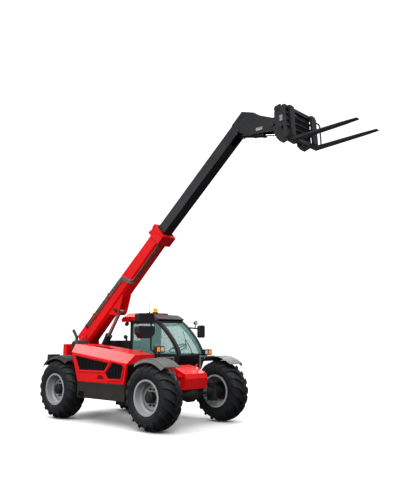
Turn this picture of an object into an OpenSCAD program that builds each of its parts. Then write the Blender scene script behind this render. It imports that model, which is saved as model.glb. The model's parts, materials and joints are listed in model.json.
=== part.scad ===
// Telescopic handler: cab on the left, engine pod on the right, two-section boom between them.
// Millimetres, +X forward, +Y left, +Z up. The ground is at Z = 0.

/* [Wheels] */
// Distance between the axles
wheelbase = 2860; // [2700:10:3000]
// Distance between the tyre centre planes
track = 1930; // [1880:10:2000]
// Tyre diameter out to the lug tips
tyre_d = 1240; // [1200:5:1260]
// Tyre section width
tyre_w = 460; // [420:5:470]
// Thickness of the tyre's wall
tyre_wall = 40; // [30:1:50]
// Height of the tread lugs at the crown
lug_h = 38; // [30:1:45]
// Number of tread lugs on each side
lug_count = 19; // [16:1:22]
// Diameter of the rim's bead seat
rim_seat_d = 612; // [600:1:620]
// Diameter over the rim's flanges
rim_flange_d = 665; // [650:1:670]
// Rim width over the flanges
rim_w = 406; // [404:2:412]
// Wall of the rim's barrel and disc
rim_wall = 11; // [8:1:14]
// Diameter of the rim's drop centre
rim_drop_d = 540; // [520:2:560]
// Outboard offset of the wheel disc from the tyre's centre plane
disc_offset = 24; // [0:1:40]
// Diameter of the hub's reduction nose
hub_d = 206; // [180:2:220]
// How far the hub's nose stands out from the centre plane
hub_reach = 150; // [120:5:180]
// Diameter of the wheel spindle
spindle_d = 90; // [70:1:100]

/* [Axles] */
// Distance from the tyre's centre plane in to the kingpin
kingpin_offset = 220; // [200:5:240]
// Diameter of the kingpins
kingpin_d = 70; // [60:1:80]
// Height of the knuckle between the yoke's arms
knuckle_h = 260; // [230:2:280]
// Diameter of the axle tube
axle_tube_d = 170; // [150:2:190]
// Diameter of the differential housing
diff_d = 330; // [300:5:350]
// Thickness of the yoke's arms
yoke_t = 50; // [40:1:60]

/* [Chassis] */
// Half distance over the chassis side plates
frame_half_w = 296; // [280:1:300]
// Thickness of the chassis side plates
frame_plate = 25; // [15:1:30]
// Bottom of the chassis side plates
frame_z0 = 560; // [520:5:600]
// Top of the chassis side plates
frame_z1 = 845; // [820:5:850]
// Rear end of the machine behind the rear axle
rear_overhang = 660; // [640:5:700]
// Plate thickness of the nose
nose_plate = 16; // [12:1:18]

/* [Boom] */
// Height of the boom's pivot
pivot_z = 1696; // [1660:2:1740]
// Distance of the boom's pivot behind the rear axle
pivot_back = 390; // [370:5:420]
// Diameter of the pivot pin
pivot_d = 90; // [70:1:100]
// Angle of the boom above the horizontal as it stands
boom_angle = 40.68; // [30:0.1:50]
// Half width of the outer boom
outer_half_w = 155; // [150:1:158]
// Wall thickness of the outer boom
outer_wall = 12; // [8:1:16]
// Width of the square inner boom
inner_w = 242; // [220:2:250]
// Wall thickness of the inner boom
inner_wall = 12; // [8:1:16]
// Height of the inner boom's centre line above the pivot
boom_axis_t = 80; // [70:1:90]
// Length of the outer boom ahead of the pivot
outer_len = 3380; // [3300:10:3450]
// Travel of the inner boom
boom_stroke = 2560; // [2400:10:2620]
// Length of the inner boom's tube left inside the outer boom
boom_overlap = 630; // [550:10:640]
// Half width of the gooseneck
neck_half_w = 125; // [121:1:130]
// Plate thickness of the gooseneck
neck_plate = 20; // [14:1:24]
// Diameter of the head pin
head_pin_d = 70; // [50:1:80]

/* [Forks] */
// Fork blade length ahead of the shank
fork_len = 1200; // [1000:10:1300]
// Fork width
fork_w = 125; // [100:1:150]
// Fork thickness
fork_t = 45; // [40:1:55]
// Height of the fork shanks
shank_h = 645; // [600:5:680]
// Half distance between the fork centres
fork_half_gap = 350; // [300:5:400]
// How far the fork tips are tilted up
fork_tilt = 3.95; // [0:0.05:10]
// Half width of the fork carriage
carriage_half_w = 520; // [490:5:560]

/* [Cylinders] */
// Bore barrel diameter of the lift cylinder
lift_barrel_d = 150; // [130:2:160]
// Rod diameter of the lift cylinder
lift_rod_d = 80; // [60:1:90]
// Length of the lift barrel from its pin to its gland
lift_barrel_len = 1000; // [960:5:1020]
// Barrel diameter of the tilt cylinder
tilt_barrel_d = 104; // [90:2:110]
// Rod diameter of the tilt cylinder
tilt_rod_d = 56; // [40:1:60]
// Length of the tilt barrel from its pin to its gland
tilt_barrel_len = 620; // [600:5:640]

/* [Engine pod] */
// Outer face of the engine pod from the centre line
pod_half_w = 1100; // [1080:5:1120]
// Inner face of the engine pod from the centre line
pod_inner = 330; // [320:5:350]
// Wall thickness of the pod's lid
pod_wall = 28; // [20:1:35]
// Bottom edge of the pod's lid
pod_z0 = 820; // [810:5:860]
// Depth of the grey side skirt
skirt_h = 322; // [280:2:340]
// Width of the bars in the pod's grilles
grille_bar = 12; // [8:1:16]

/* [Cab] */
// Outer side wall of the cab from the centre line
cab_y1 = 1080; // [1040:5:1100]
// Floor height of the cab
cab_z0 = 860; // [840:5:880]
// Thickness of the cab's walls and pillars
cab_wall = 45; // [38:1:50]
// Thickness of the window glass
glass_t = 8; // [5:1:10]
// Height of the roof's underside
roof_z = 2090; // [2070:5:2110]
// Height of the roof cap
roof_h = 170; // [150:5:190]
// Rear wall of the cab from mid-wheelbase
cab_rear = 700; // [680:5:720]

/* [Clearances] */
// Radial running clearance at pins and bores
run_gap = 0.3; // [0.2:0.05:0.5]
// Gap between fixed pieces that are seated on each other
seat_gap = 0.3; // [0.2:0.05:0.5]
// Side clearance between moving plates
side_gap = 6; // [5:0.5:9]
// Gap round the door and the pod's lid
shut_gap = 6; // [5:0.5:9]

/* [Hidden] */
$fn = 64;

// Colours
red = [0.82, 0.05, 0.07];
black = [0.08, 0.08, 0.09];
dark_grey = [0.2, 0.2, 0.2];
mid_grey = [0.38, 0.38, 0.38];
silver = [0.72, 0.73, 0.75];
steel = [0.8, 0.8, 0.82];
tint = [0.35, 0.5, 0.48, 0.6];
amber = [1, 0.6, 0.05];

// Main places
front_x = wheelbase / 2;
rear_x = -wheelbase / 2;
// Axle height that the machine is drawn at; other tyres raise or lower all of it
axle_z = 620;
stand = tyre_d / 2 - axle_z;
// Where the pod, its skirt and the tank end, short of the tyres
tyre_room = 78;
pod_end = wheelbase / 2 - tyre_d / 2 - tyre_room;
// Inner radius of the fenders, clear of a steered tyre
fender_room = 80;
fender_r = tyre_d / 2 + fender_room;
fender_t = 10;
kingpin_y = track / 2 - kingpin_offset;
tail_x = rear_x - rear_overhang;
pivot_x = rear_x - pivot_back;
nose_half_w = frame_half_w + seat_gap + nose_plate;
cab_y0 = frame_half_w + seat_gap;

// Start of the gooseneck along the boom: this far ahead of the collar when the boom is in
neck_room = 120;
neck_s = outer_len + boom_stroke + neck_room;
// Head pin in boom coordinates, along the boom and across it
head_s = neck_s + 627;
head_t = -610;
// Fork tip along the forks from the head pin
shank_x = 500;
fork_tip_x = shank_x + fork_t + fork_len;
fork_z0 = -545;
// Where the head pin stands over the ground
head_x = pivot_x + head_s * cos(boom_angle) - head_t * sin(boom_angle);
head_z = pivot_z + head_s * sin(boom_angle) + head_t * cos(boom_angle);
tip_x = head_x + fork_tip_x * cos(fork_tilt) - fork_z0 * sin(fork_tilt);
// The part's origin is under the middle of its whole length
origin_x = (tip_x + tail_x) / 2;

function bezier(a, b, c, u) = a * (1 - u) * (1 - u) + b * 2 * u * (1 - u) + c * u * u;
function bezier_slope(a, b, c, u) = (b - a) * (1 - u) + (c - b) * u;
function unit(v) = v / norm(v);

module placed() translate([-origin_x, 0, stand]) children();
module along_y() rotate([-90, 0, 0]) children();
module along_x() rotate([0, 90, 0]) children();
// Both sides of the centre plane
module both_sides() {
    children();
    mirror([0, 1, 0]) children();
}
// An outline in X and Z, pulled out along Y from y0 to y1
module side_plate(y0, y1) translate([0, y1, 0]) rotate([90, 0, 0]) linear_extrude(y1 - y0) children();
module boom_place() translate([pivot_x, 0, pivot_z]) rotate([0, -boom_angle, 0]) children();
module carriage_place() translate([head_x, 0, head_z]) rotate([0, -fork_tilt, 0]) children();
module box(x0, x1, y0, y1, z0, z1) translate([x0, y0, z0]) cube([x1 - x0, y1 - y0, z1 - z0]);
module rounded_rect(w, h, r) {
    square([w - 2 * r, h], center = true);
    square([w, h - 2 * r], center = true);
    for (i = [-1, 1], j = [-1, 1]) translate([i * (w / 2 - r), j * (h / 2 - r)]) circle(r);
}
// A straight bar between two points
module bar(a, b, d) {
    v = b - a;
    translate(a)
        rotate([0, acos(v[2] / norm(v)), atan2(v[1], v[0])])
            cylinder(d = d, h = norm(v));
}
// A round tube swept along a list of points
module swept(path, d, sides = 8) {
    last = len(path) - 1;
    function tangent(i) = unit(path[min(i + 1, last)] - path[max(i - 1, 0)]);
    function across(t) = unit(cross(t, abs(t[1]) < 0.9 ? [0, 1, 0] : [1, 0, 0]));
    points = [for (i = [0 : last])
        let (t = tangent(i), u = across(t), w = cross(t, u))
        for (k = [0 : sides - 1]) path[i] + (u * cos(k * 360 / sides) + w * sin(k * 360 / sides)) * d / 2];
    walls = [for (i = [0 : last - 1], k = [0 : sides - 1])
        let (a = i * sides + k, b = i * sides + (k + 1) % sides)
        each [[a, a + sides, b + sides], [a, b + sides, b]]];
    caps = [[for (k = [0 : sides - 1]) k], [for (k = [sides - 1 : -1 : 0]) last * sides + k]];
    polyhedron(points, concat(walls, caps));
}

// Wheels: local origin at the wheel's centre, +Y outboard
module at_wheel(fore, side) {
    translate([fore * wheelbase / 2, side * track / 2, axle_z])
        mirror([0, side < 0 ? 1 : 0, 0])
            children();
}
tyre_power = 2.6;
bead_r = 280;
// Outline of a tyre from its bead to its crown, as a rounded oblong
function tyre_point(a, half_w, mid_r, half_h) = [
    mid_r + half_h * sign(sin(a)) * pow(abs(sin(a)), 2 / tyre_power),
    half_w * sign(cos(a)) * pow(abs(cos(a)), 2 / tyre_power)
];
module tyre_ring(crown_r, half_w, low_r) {
    step = 15;
    mid_r = (crown_r + low_r) / 2;
    along_y() rotate_extrude($fn = 96)
        polygon([for (a = [0 : step : 360 - step]) tyre_point(a, half_w, mid_r, mid_r - low_r)]);
}
// One lug seen from outside: from past the tread's middle, slanting out to the shoulder
module tread_lug() {
    foot_r = tyre_d / 2 - 4 * lug_h;
    bar = 62;
    edge = tyre_w / 2 + 5;
    past = 12;
    nose_t = -128;
    run = [[0.3, -78], [0.65, -18], [1, 38]];
    rotate([90, 0, 90]) translate([0, 0, foot_r]) linear_extrude(tyre_d / 2 - foot_r) polygon(concat(
        [[2 * past, nose_t], [-past, nose_t], [-past, nose_t + bar]],
        [for (p = run) [p[0] * edge, p[1] + bar]],
        [for (i = [2 : -1 : 0]) [run[i][0] * edge, run[i][1]]]
    ));
}
module tyre() {
    carcass_r = tyre_d / 2 - lug_h;
    carcass_half = tyre_w / 2 - 6;
    flange_y = rim_w / 2 - rim_wall - seat_gap;
    color(black) difference() {
        union() {
            tyre_ring(carcass_r, carcass_half, bead_r);
            intersection() {
                tyre_ring(tyre_d / 2, tyre_w / 2, bead_r);
                for (i = [0 : lug_count - 1], side = [0, 1])
                    rotate([0, -(i + side / 2) * 360 / lug_count, 0]) mirror([0, side, 0]) tread_lug();
            }
        }
        tyre_ring(carcass_r - tyre_wall, carcass_half - tyre_wall, bead_r + tyre_wall);
        // Seats of the beads, inside the rim's flanges
        along_y() cylinder(d = rim_seat_d, h = 2 * tyre_w, center = true);
        both_sides() translate([0, flange_y, 0]) along_y()
            cylinder(d = rim_flange_d + 2 * seat_gap, h = tyre_w);
    }
}
module rim() {
    seat = rim_seat_d / 2 - seat_gap;
    drop = rim_drop_d / 2;
    flange = rim_flange_d / 2;
    edge = rim_w / 2;
    drop_half = 55;
    ramp = 25;
    disc_rim = drop - rim_wall;
    disc_flat = 225;
    disc_rise = 30;
    color(silver) along_y() rotate_extrude($fn = 96) {
        polygon([
            [flange, -edge], [flange, rim_wall - edge], [seat, rim_wall - edge], [seat, -drop_half - ramp],
            [drop, -drop_half], [drop, drop_half], [seat, drop_half + ramp], [seat, edge - rim_wall],
            [flange, edge - rim_wall], [flange, edge], [seat - rim_wall, edge],
            [seat - rim_wall, drop_half + ramp], [drop - rim_wall, drop_half],
            [drop - rim_wall, -drop_half], [seat - rim_wall, -drop_half - ramp], [seat - rim_wall, -edge]
        ]);
        polygon([
            [hub_d / 2 + seat_gap, disc_offset], [disc_flat, disc_offset],
            [disc_rim + 1, disc_offset - disc_rise],
            [disc_rim + 1, disc_offset - disc_rise + rim_wall], [disc_flat, disc_offset + rim_wall],
            [hub_d / 2 + seat_gap, disc_offset + rim_wall]
        ]);
    }
}
hub_back = -10;
spindle_end = 108;
module hub() {
    flange_r = 180;
    cap_r = 68;
    cap_h = 14;
    round_r = 16;
    color(black) along_y() rotate_extrude() difference() {
        union() {
            polygon([
                [0, hub_back], [flange_r, hub_back], [flange_r, disc_offset - seat_gap],
                [hub_d / 2, disc_offset - seat_gap], [hub_d / 2, hub_reach - round_r],
                [hub_d / 2 - round_r, hub_reach], [0, hub_reach]
            ]);
            translate([0, hub_reach - 1]) square([cap_r, cap_h + 1]);
        }
        translate([0, hub_back - 1]) square([spindle_d / 2 + run_gap, spindle_end + 2 - hub_back]);
    }
}
module knuckle() {
    body_r = 72;
    carrier_r = 110;
    carrier_end = hub_back - side_gap;
    color(black) {
        translate([0, -kingpin_offset, 0]) {
            cylinder(r = body_r, h = knuckle_h, center = true);
            cylinder(d = kingpin_d, h = knuckle_h + 2 * yoke_t, center = true);
        }
        along_y() translate([0, 0, -kingpin_offset])
            cylinder(r = carrier_r, h = kingpin_offset + carrier_end);
        along_y() translate([0, 0, carrier_end - 1]) cylinder(d = spindle_d, h = spindle_end - carrier_end);
    }
}
module steer_axle(fore) {
    yoke_half_x = 62;
    arm_z = knuckle_h / 2 + 2;
    back_y = kingpin_y - 90;
    back_t = 55;
    tube_r = axle_tube_d / 2;
    diff_half = 240;
    pinion_r = 85;
    pinion_len = 330;
    color(black) translate([fore * wheelbase / 2, 0, axle_z]) {
        along_y() cylinder(r = tube_r, h = 2 * back_y - back_t, center = true);
        along_y() rotate_extrude() polygon([
            [0, -diff_half], [tube_r, -diff_half], [diff_d / 2, -60], [diff_d / 2, 60], [tube_r, diff_half],
            [0, diff_half]
        ]);
        translate([-fore * pinion_len, 0, 0]) along_x()
            translate([0, 0, fore > 0 ? 0 : -pinion_len]) cylinder(r = pinion_r, h = pinion_len);
        both_sides() difference() {
            union() {
                box(-yoke_half_x, yoke_half_x, back_y - back_t, back_y, -arm_z - yoke_t, arm_z + yoke_t);
                for (up = [0, 1]) mirror([0, 0, up]) {
                    box(-yoke_half_x, yoke_half_x, back_y - back_t, kingpin_y, arm_z, arm_z + yoke_t);
                    translate([0, kingpin_y, arm_z]) cylinder(r = yoke_half_x, h = yoke_t);
                }
            }
            translate([0, kingpin_y, 0])
                cylinder(d = kingpin_d + 2 * run_gap, h = knuckle_h + 6 * yoke_t, center = true);
        }
    }
}
// Pads on the front axle, with the long bolts that hold it under the nose's tabs
tab_z = 715;
tab_t = 20;
tab_half_x = 100;
tab_y0 = nose_half_w;
tab_y1 = nose_half_w + 118;
module axle_pads(fore) {
    pad_top = axle_z + 20;
    pad_h = 60;
    bolt_d = 26;
    bolt_in = 28;
    color(black) translate([fore * wheelbase / 2, 0, 0]) both_sides() {
        box(-tab_half_x, tab_half_x, tab_y0, tab_y1, pad_top - pad_h, pad_top);
        for (i = [-1, 1], y = [tab_y0 + bolt_in, tab_y1 - bolt_in])
            translate([i * (tab_half_x - bolt_in), y, pad_top - 1])
                cylinder(d = bolt_d, h = tab_z - pad_top + 1);
    }
}
module front_axle() {
    steer_axle(1);
    axle_pads(1);
}
module rear_axle() {
    steer_axle(-1);
    axle_pads(-1);
}

// Chassis
ear_in = outer_half_w + side_gap;
ear_t = 36;
ear_r = 120;
lift_pin_x = pivot_x + 160;
lift_pin_z = 947;
lift_pin_d = 60;
lift_eye_w = 110;
lift_lug_t = 26;
tail_depth = 130;
beam_x0 = tail_x + tail_depth;
beam_x1 = lift_pin_x - 110;
beam_z1 = 900;
// Top of the side plates over the rear axle
rear_deck_z = axle_z + fender_r + 24;
module chassis_outline() {
    polygon([
        [beam_x0, frame_z0], [front_x - 420, frame_z0], [front_x - 260, frame_z0 + 240],
        [front_x + 80, frame_z0 + 240],
        [front_x + 80, 1000], [front_x - 120, 1080], [front_x - 420, 1080], [front_x - 620, frame_z1],
        [rear_x + 330, frame_z1], [rear_x + 150, rear_deck_z], [beam_x0, rear_deck_z]
    ]);
}
module chassis_frame() {
    cross_d = 110;
    cross_z = 690;
    lug_y0 = lift_eye_w / 2 + 4;
    color(dark_grey) {
        both_sides() {
            difference() {
                side_plate(frame_half_w - frame_plate, frame_half_w) chassis_outline();
                translate([rear_x, 0, axle_z]) along_y()
                    cylinder(d = axle_tube_d + 60, h = 2 * frame_half_w, center = true);
            }
            // Ears that hold the boom's pivot, carried on the side plates
            side_plate(ear_in, ear_in + ear_t) {
                polygon([
                    [beam_x0, beam_z1], [lift_pin_x + 60, beam_z1], [pivot_x + ear_r, pivot_z],
                    [pivot_x - ear_r, pivot_z], [beam_x0, 1300]
                ]);
                translate([pivot_x, pivot_z]) circle(ear_r);
            }
            box(beam_x0, lift_pin_x + 20, ear_in + ear_t - 1, frame_half_w - frame_plate + 1, beam_z1,
                beam_z1 + 100);
            // Lugs for the lift cylinder's lower pin
            side_plate(lug_y0, lug_y0 + lift_lug_t) {
                polygon([
                    [beam_x1 - 10, 720], [lift_pin_x + 40, beam_z1 - 10], [lift_pin_x, lift_pin_z + 60],
                    [beam_x1 - 10, beam_z1]
                ]);
                translate([lift_pin_x, lift_pin_z]) circle(62);
            }
        }
        box(beam_x0, beam_x1, 1 - frame_half_w, frame_half_w - 1, frame_z0, beam_z1);
        // Outriggers under the cab's floor
        for (x = [-560, 500])
            box(x, x + 110, frame_half_w - frame_plate, 1000, frame_z1 - 30, cab_z0 - seat_gap);
        for (x = [rear_x + 520, 0, front_x - 480])
            translate([x, 0, cross_z]) along_y()
                cylinder(d = cross_d, h = 2 * frame_half_w - 2, center = true);
        translate([pivot_x, 0, pivot_z]) along_y()
            cylinder(d = pivot_d, h = 2 * (ear_in + ear_t), center = true);
        translate([lift_pin_x, 0, lift_pin_z]) along_y()
            cylinder(d = lift_pin_d, h = 2 * (lug_y0 + lift_lug_t), center = true);
        // Saddles over the rear axle
        both_sides() box(rear_x - tab_half_x, rear_x + tab_half_x, frame_half_w - 1, tab_y1, tab_z,
            tab_z + tab_t);
        // Posts and pins that carry the engine pod's lid
        for (x = lid_hinges) {
            box(x, x + lid_post_w, -frame_half_w, frame_plate - frame_half_w, frame_z1 - 1, lid_axis_z);
            translate([x, lid_axis_y, lid_axis_z]) along_x() cylinder(r = lid_knuckle_r, h = lid_post_w);
            translate([x, lid_axis_y, lid_axis_z]) along_x() cylinder(d = lid_pin_d, h = 2 * lid_post_w);
        }
    }
}
nose_rear = front_x - 290;
nose_front = front_x + 200;
// The nose from the side, open below where it is hollow
module nose_outline(inset, low) {
    polygon([
        [nose_rear, 1160 - inset], [front_x - 100, 1122 - inset], [front_x + 170 - inset, 1013 - inset],
        [nose_front - inset, 920], [front_x + 165 - inset, low], [nose_rear, low]
    ]);
}
module front_nose() {
    boss_d = 76;
    boss_len = 84;
    boss_x = front_x + 32;
    boss_z = 962;
    eye_d = 46;
    color(red) difference() {
        union() {
            difference() {
                side_plate(-nose_half_w, nose_half_w) nose_outline(0, tab_z);
                translate([-1, 0, 0]) side_plate(nose_plate - nose_half_w, nose_half_w - nose_plate)
                    nose_outline(nose_plate, tab_z - 1);
            }
            both_sides() {
                translate([boss_x, nose_half_w - 1, boss_z]) along_y() cylinder(d = boss_d, h = boss_len);
                box(front_x - tab_half_x, front_x + tab_half_x, nose_half_w - 1, tab_y1, tab_z,
                    tab_z + tab_t);
            }
        }
        // Lashing eyes near the front corners
        translate([front_x + 120, 0, 935]) along_y() cylinder(d = eye_d, h = 4 * nose_half_w, center = true);
    }
}
tail_lamp_t = 8;
tail_lamp_y0 = 400;
tail_lamp_y1 = 500;
tail_lamp_z0 = 1360;
tail_lamp_z1 = 1540;
module rear_tail() {
    tail_t = tail_depth - seat_gap;
    low_half = 395;
    wide_half = 520;
    slot_half = outer_half_w + 60;
    hitch_d = 50;
    jaw_z0 = 600;
    jaw_z1 = 690;
    jaw_plate = 50;
    jaw_depth = 100;
    jaw_half_w = 110;
    color(red) difference() {
        union() {
            box(tail_x, tail_x + tail_t, -low_half, low_half, frame_z0, 1300);
            box(tail_x, tail_x + tail_t, -wide_half, wide_half, 1285, 1560);
        }
        box(tail_x - 1, tail_x + tail_t + 1, -slot_half, slot_half, 1330, 1700);
        // Tow jaw in the counterweight, with its upright pin hole and the pocket the pin is lifted into
        for (z = [[jaw_z0, jaw_z1], [jaw_z1 + jaw_plate, jaw_z1 + jaw_plate + 280]])
            box(tail_x - 1, tail_x + jaw_depth, -jaw_half_w, jaw_half_w, z[0], z[1]);
        translate([tail_x + jaw_depth / 2, 0, frame_z0 - 1])
            cylinder(d = hitch_d, h = jaw_z1 + jaw_plate + 2 - frame_z0);
        // Pockets for the tail lamps
        both_sides() box(tail_x - 1, tail_x + tail_lamp_t, tail_lamp_y0, tail_lamp_y1, tail_lamp_z0,
            tail_lamp_z1);
    }
}

// Room that a steered tyre sweeps round its kingpin
sweep_r = norm([tyre_d / 2 - 30, kingpin_offset + tyre_w / 2 - 40]) + side_gap;
module tyre_sweeps() {
    over = 25;
    for (x = [rear_x, front_x], side = [-1, 1])
        translate([x, side * kingpin_y, axle_z]) cylinder(r = sweep_r, h = tyre_d + 2 * over, center = true);
}

// Engine pod: a lid that swings up about its inner edge
pod_lean = 6.4;
pod_mid_z = 1303;
facet_k = 0.72;
facet_w = 235;
pod_back = 1100;
pod_nose = 800;
// Height of the pod's top at a place along the machine
function pod_top(x) = pod_mid_z + facet_k * facet_w - x * tan(pod_lean) - 0.00002 * x * x;
module pod_side(inset, over) {
    steps = 6;
    x0 = inset - pod_back;
    x1 = pod_nose - inset;
    polygon(concat(
        [[pod_end - inset, pod_z0 - over], [inset - pod_end, pod_z0 - over], [inset - 944, 1394]],
        [for (i = [0 : steps]) let (x = x0 + i * (x1 - x0) / steps) [x, pod_top(x) - inset]],
        [[pod_nose + 10 - inset, 1215]]
    ));
}
// The pod seen along the machine, with the facet between its side and its top
module pod_section(inset) {
    reach = 700;
    polygon([
        [-pod_inner - inset, pod_mid_z + reach], [-pod_inner - inset, pod_mid_z - 2 * reach],
        [inset - pod_half_w, pod_mid_z - 2 * reach], [inset - pod_half_w, pod_mid_z - 0.3 * inset],
        [inset - pod_half_w + facet_w + reach, pod_mid_z - 0.3 * inset + facet_k * (facet_w + reach)]
    ]);
}
module pod_form(inset, over) {
    intersection() {
        side_plate(-pod_half_w - 1, 1 - pod_inner) pod_side(inset, over);
        // The section leans with the slope of the crease
        translate([0, 0, pod_mid_z]) rotate([0, pod_lean, 0]) translate([-2000, 0, -pod_mid_z])
            rotate([90, 0, 90]) linear_extrude(4000) pod_section(inset);
    }
}
// Window outlines in the pod's side
module rear_window(grow) {
    polygon([
        [-820 - grow, 1331 + grow], [-674 - grow, 1050 - grow], [132 + grow, 1058 - grow],
        [262 + 2 * grow, 1208 + grow]
    ]);
}
module front_window(grow) {
    polygon([
        [382 - grow, 1222 + grow], [665 + grow, 1178 + grow], [700 + grow, 1150], [640 + grow, 915 - grow],
        [250 - grow, 908 - grow], [180 - grow, 1005]
    ]);
}
// The lid's hinges: where they stand, and their common axis
lid_hinges = [-520, 240];
lid_post_w = 60;
lid_axis_y = 22 - pod_inner;
lid_axis_z = 1440;
lid_knuckle_r = 15;
lid_pin_d = 18;
lid_lip_z = 1400;
vent_x0 = -620;
vent_x1 = -60;
vent_y0 = 640;
vent_y1 = 800;
vent_z0 = 1400;
vent_z1 = 1700;
module hood() {
    rib = 14;
    color(red) difference() {
        union() {
            difference() {
                pod_form(0, 0);
                pod_form(pod_wall, 200);
            }
            // Raised frame lip round the windows
            side_plate(-pod_half_w - rib, 2 - pod_half_w) difference() {
                union() {
                    rear_window(34);
                    front_window(34);
                }
                rear_window(18);
                front_window(18);
            }
        }
        side_plate(-pod_half_w - 50, -pod_half_w + pod_wall + 20) {
            rear_window(0);
            front_window(0);
        }
        // Finger recess of the latch
        side_plate(-pod_half_w - 50, 12 - pod_half_w)
            polygon([[-90, 893], [-40, 965], [80, 962], [131, 893]]);
        box(vent_x0, vent_x1, -vent_y1, -vent_y0, vent_z0, vent_z1);
        // Towards the boom the lid is open below a short lip
        box(-2 * pod_back, 2 * pod_nose, -pod_inner - pod_wall - 1, 1 - pod_inner, 0, lid_lip_z);
    }
    // Eyes that turn on the posts' pins
    color(red) for (x = lid_hinges) translate([x + lid_post_w + side_gap, 0, 0]) difference() {
        union() {
            translate([0, lid_axis_y, lid_axis_z]) along_x()
                cylinder(r = lid_knuckle_r, h = lid_post_w - side_gap);
            box(0, lid_post_w - side_gap, -pod_inner - 2, lid_axis_y, lid_axis_z - 9, lid_axis_z + 9);
        }
        translate([-1, lid_axis_y, lid_axis_z]) along_x()
            cylinder(d = lid_pin_d + 2 * run_gap, h = 2 * lid_post_w);
    }
}
// A grille: its outer outline, and upright bars across its inner outline
module grille_sheet() {
    pitch = 46;
    count = 18;
    tall = 2 * pod_mid_z;
    difference() {
        children(0);
        difference() {
            children(1);
            for (i = [-count : count]) translate([i * pitch, 0]) square([grille_bar, tall]);
        }
    }
}
module hood_grilles() {
    y0 = -pod_half_w + 5;
    depth = 12;
    frame = 20;
    vent_sunk = 10;
    vent_t = 16;
    color(black) {
        side_plate(y0, y0 + depth) {
            grille_sheet() {
                rear_window(-seat_gap);
                rear_window(-frame);
            }
            grille_sheet() {
                front_window(-seat_gap);
                front_window(-frame);
            }
        }
        difference() {
            box(vent_x0 + seat_gap, vent_x1 - seat_gap, -vent_y1 + seat_gap, -vent_y0 - seat_gap, vent_z0,
                vent_z1);
            translate([0, 0, -vent_sunk]) pod_top_cut(2 * vent_z1);
            translate([0, 0, -vent_sunk - vent_t]) pod_top_cut(0);
        }
    }
}
// Everything between the pod's top line over the vent and a height above or below it
module pod_top_cut(z) {
    x0 = vent_x0 - 50;
    x1 = vent_x1 + 50;
    side_plate(-pod_half_w, 0) polygon([[x0, pod_top(x0)], [x1, pod_top(x1)], [x1, z], [x0, z]]);
}
skirt_top = pod_z0 - shut_gap;
module side_skirt() {
    skirt_t = 24;
    x0 = -pod_end - 10;
    x1 = pod_end + 15;
    y0 = -pod_half_w + 10;
    y1 = -640;
    z0 = skirt_top - skirt_h;
    color(dark_grey) difference() {
        box(x0, x1, y0, y1, z0, skirt_top);
        box(x0 + skirt_t, x1 - skirt_t, y0 + skirt_t, y1 + 1, z0 + skirt_t, skirt_top + 1);
        // Recessed step near the rear lower corner
        box(x0 + 45, x0 + 230, y0 - 1, y0 + 10, z0 + 12, z0 + 130);
        tyre_sweeps();
    }
    // Brackets to the chassis
    color(dark_grey) for (x = [-300, 300])
        box(x, x + 80, y0 + skirt_t - 1, -frame_half_w, z0 + skirt_t - 1, z0 + 100);
}
module engine_block() {
    color(dark_grey) {
        box(-430, 430, -880, -400, 700, 1230);
        for (x = [-330, 270]) box(x, x + 60, -410, -frame_half_w, 760, 860);
    }
}
muffler_x = rear_x - 100;
// The silencer lies over the rear fender's arm
muffler_z = axle_z + fender_r + 205;
module exhaust() {
    muffler_d = 250;
    y0 = -640;
    y1 = -262;
    stack_d = 64;
    round_r = 30;
    stack_x = muffler_x - 60;
    stack_y = -520;
    color(black) {
        translate([muffler_x, y0, muffler_z]) along_y() rotate_extrude() polygon([
            [0, 0], [muffler_d / 2 - round_r, 0], [muffler_d / 2, round_r],
            [muffler_d / 2, y1 - y0 - round_r],
            [muffler_d / 2 - round_r, y1 - y0], [0, y1 - y0]
        ]);
        bar([stack_x, stack_y, muffler_z + 60], [stack_x, stack_y, muffler_z + 200], stack_d);
        bar([stack_x + 8, stack_y, muffler_z + 185], [stack_x - 130, stack_y, muffler_z + 350], stack_d);
        // Bracket down to the chassis side plate
        box(muffler_x - 40, muffler_x + 40, -330, -frame_half_w, 1120, muffler_z);
    }
}
module left_tank() {
    x0 = 12 - pod_end;
    x1 = pod_end - 12;
    y1 = 1075;
    z0 = 450;
    z1 = 815;
    step_d = 170;
    color(dark_grey) {
        difference() {
            box(x0, x1, 620, y1, z0, z1);
            // Two steps cut into the tank's face
            box(-250, 330, y1 - step_d, y1 + 1, z0 + 60, z0 + 190);
            box(-250, 330, y1 - step_d, y1 + 1, z0 + 250, z1 + 1);
            box(x0 + 30, x1 - 30, 650, y1 - step_d - 30, z0 + 30, z1 - 30);
            tyre_sweeps();
        }
        for (x = [-300, 300]) box(x, x + 80, frame_half_w, 621, 600, 700);
    }
}
cover_z0 = rear_deck_z + side_gap;
cover_z1 = 1640;
cover_y0 = cab_y0 + 5;
cover_y1 = 690;
module cover_outline(inset, low) polygon([
    [inset - 1640, low], [inset - 1640, cover_z1 - 40 - inset], [inset - 1560, cover_z1 - inset],
    [-cab_rear - 30 - inset, cover_z1 - inset], [-cab_rear - 30 - inset, low]
]);
module left_cover() {
    wall = 25;
    color(black) {
        difference() {
            side_plate(cover_y0, cover_y1) cover_outline(0, cover_z0);
            side_plate(cover_y0 + wall, cover_y1 - wall) cover_outline(wall, cover_z0 - 1);
        }
        for (x = [-1560, -1280]) box(x, x + 80, frame_half_w, cover_y0 + wall, 900, cover_z0 + wall);
    }
}

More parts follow.
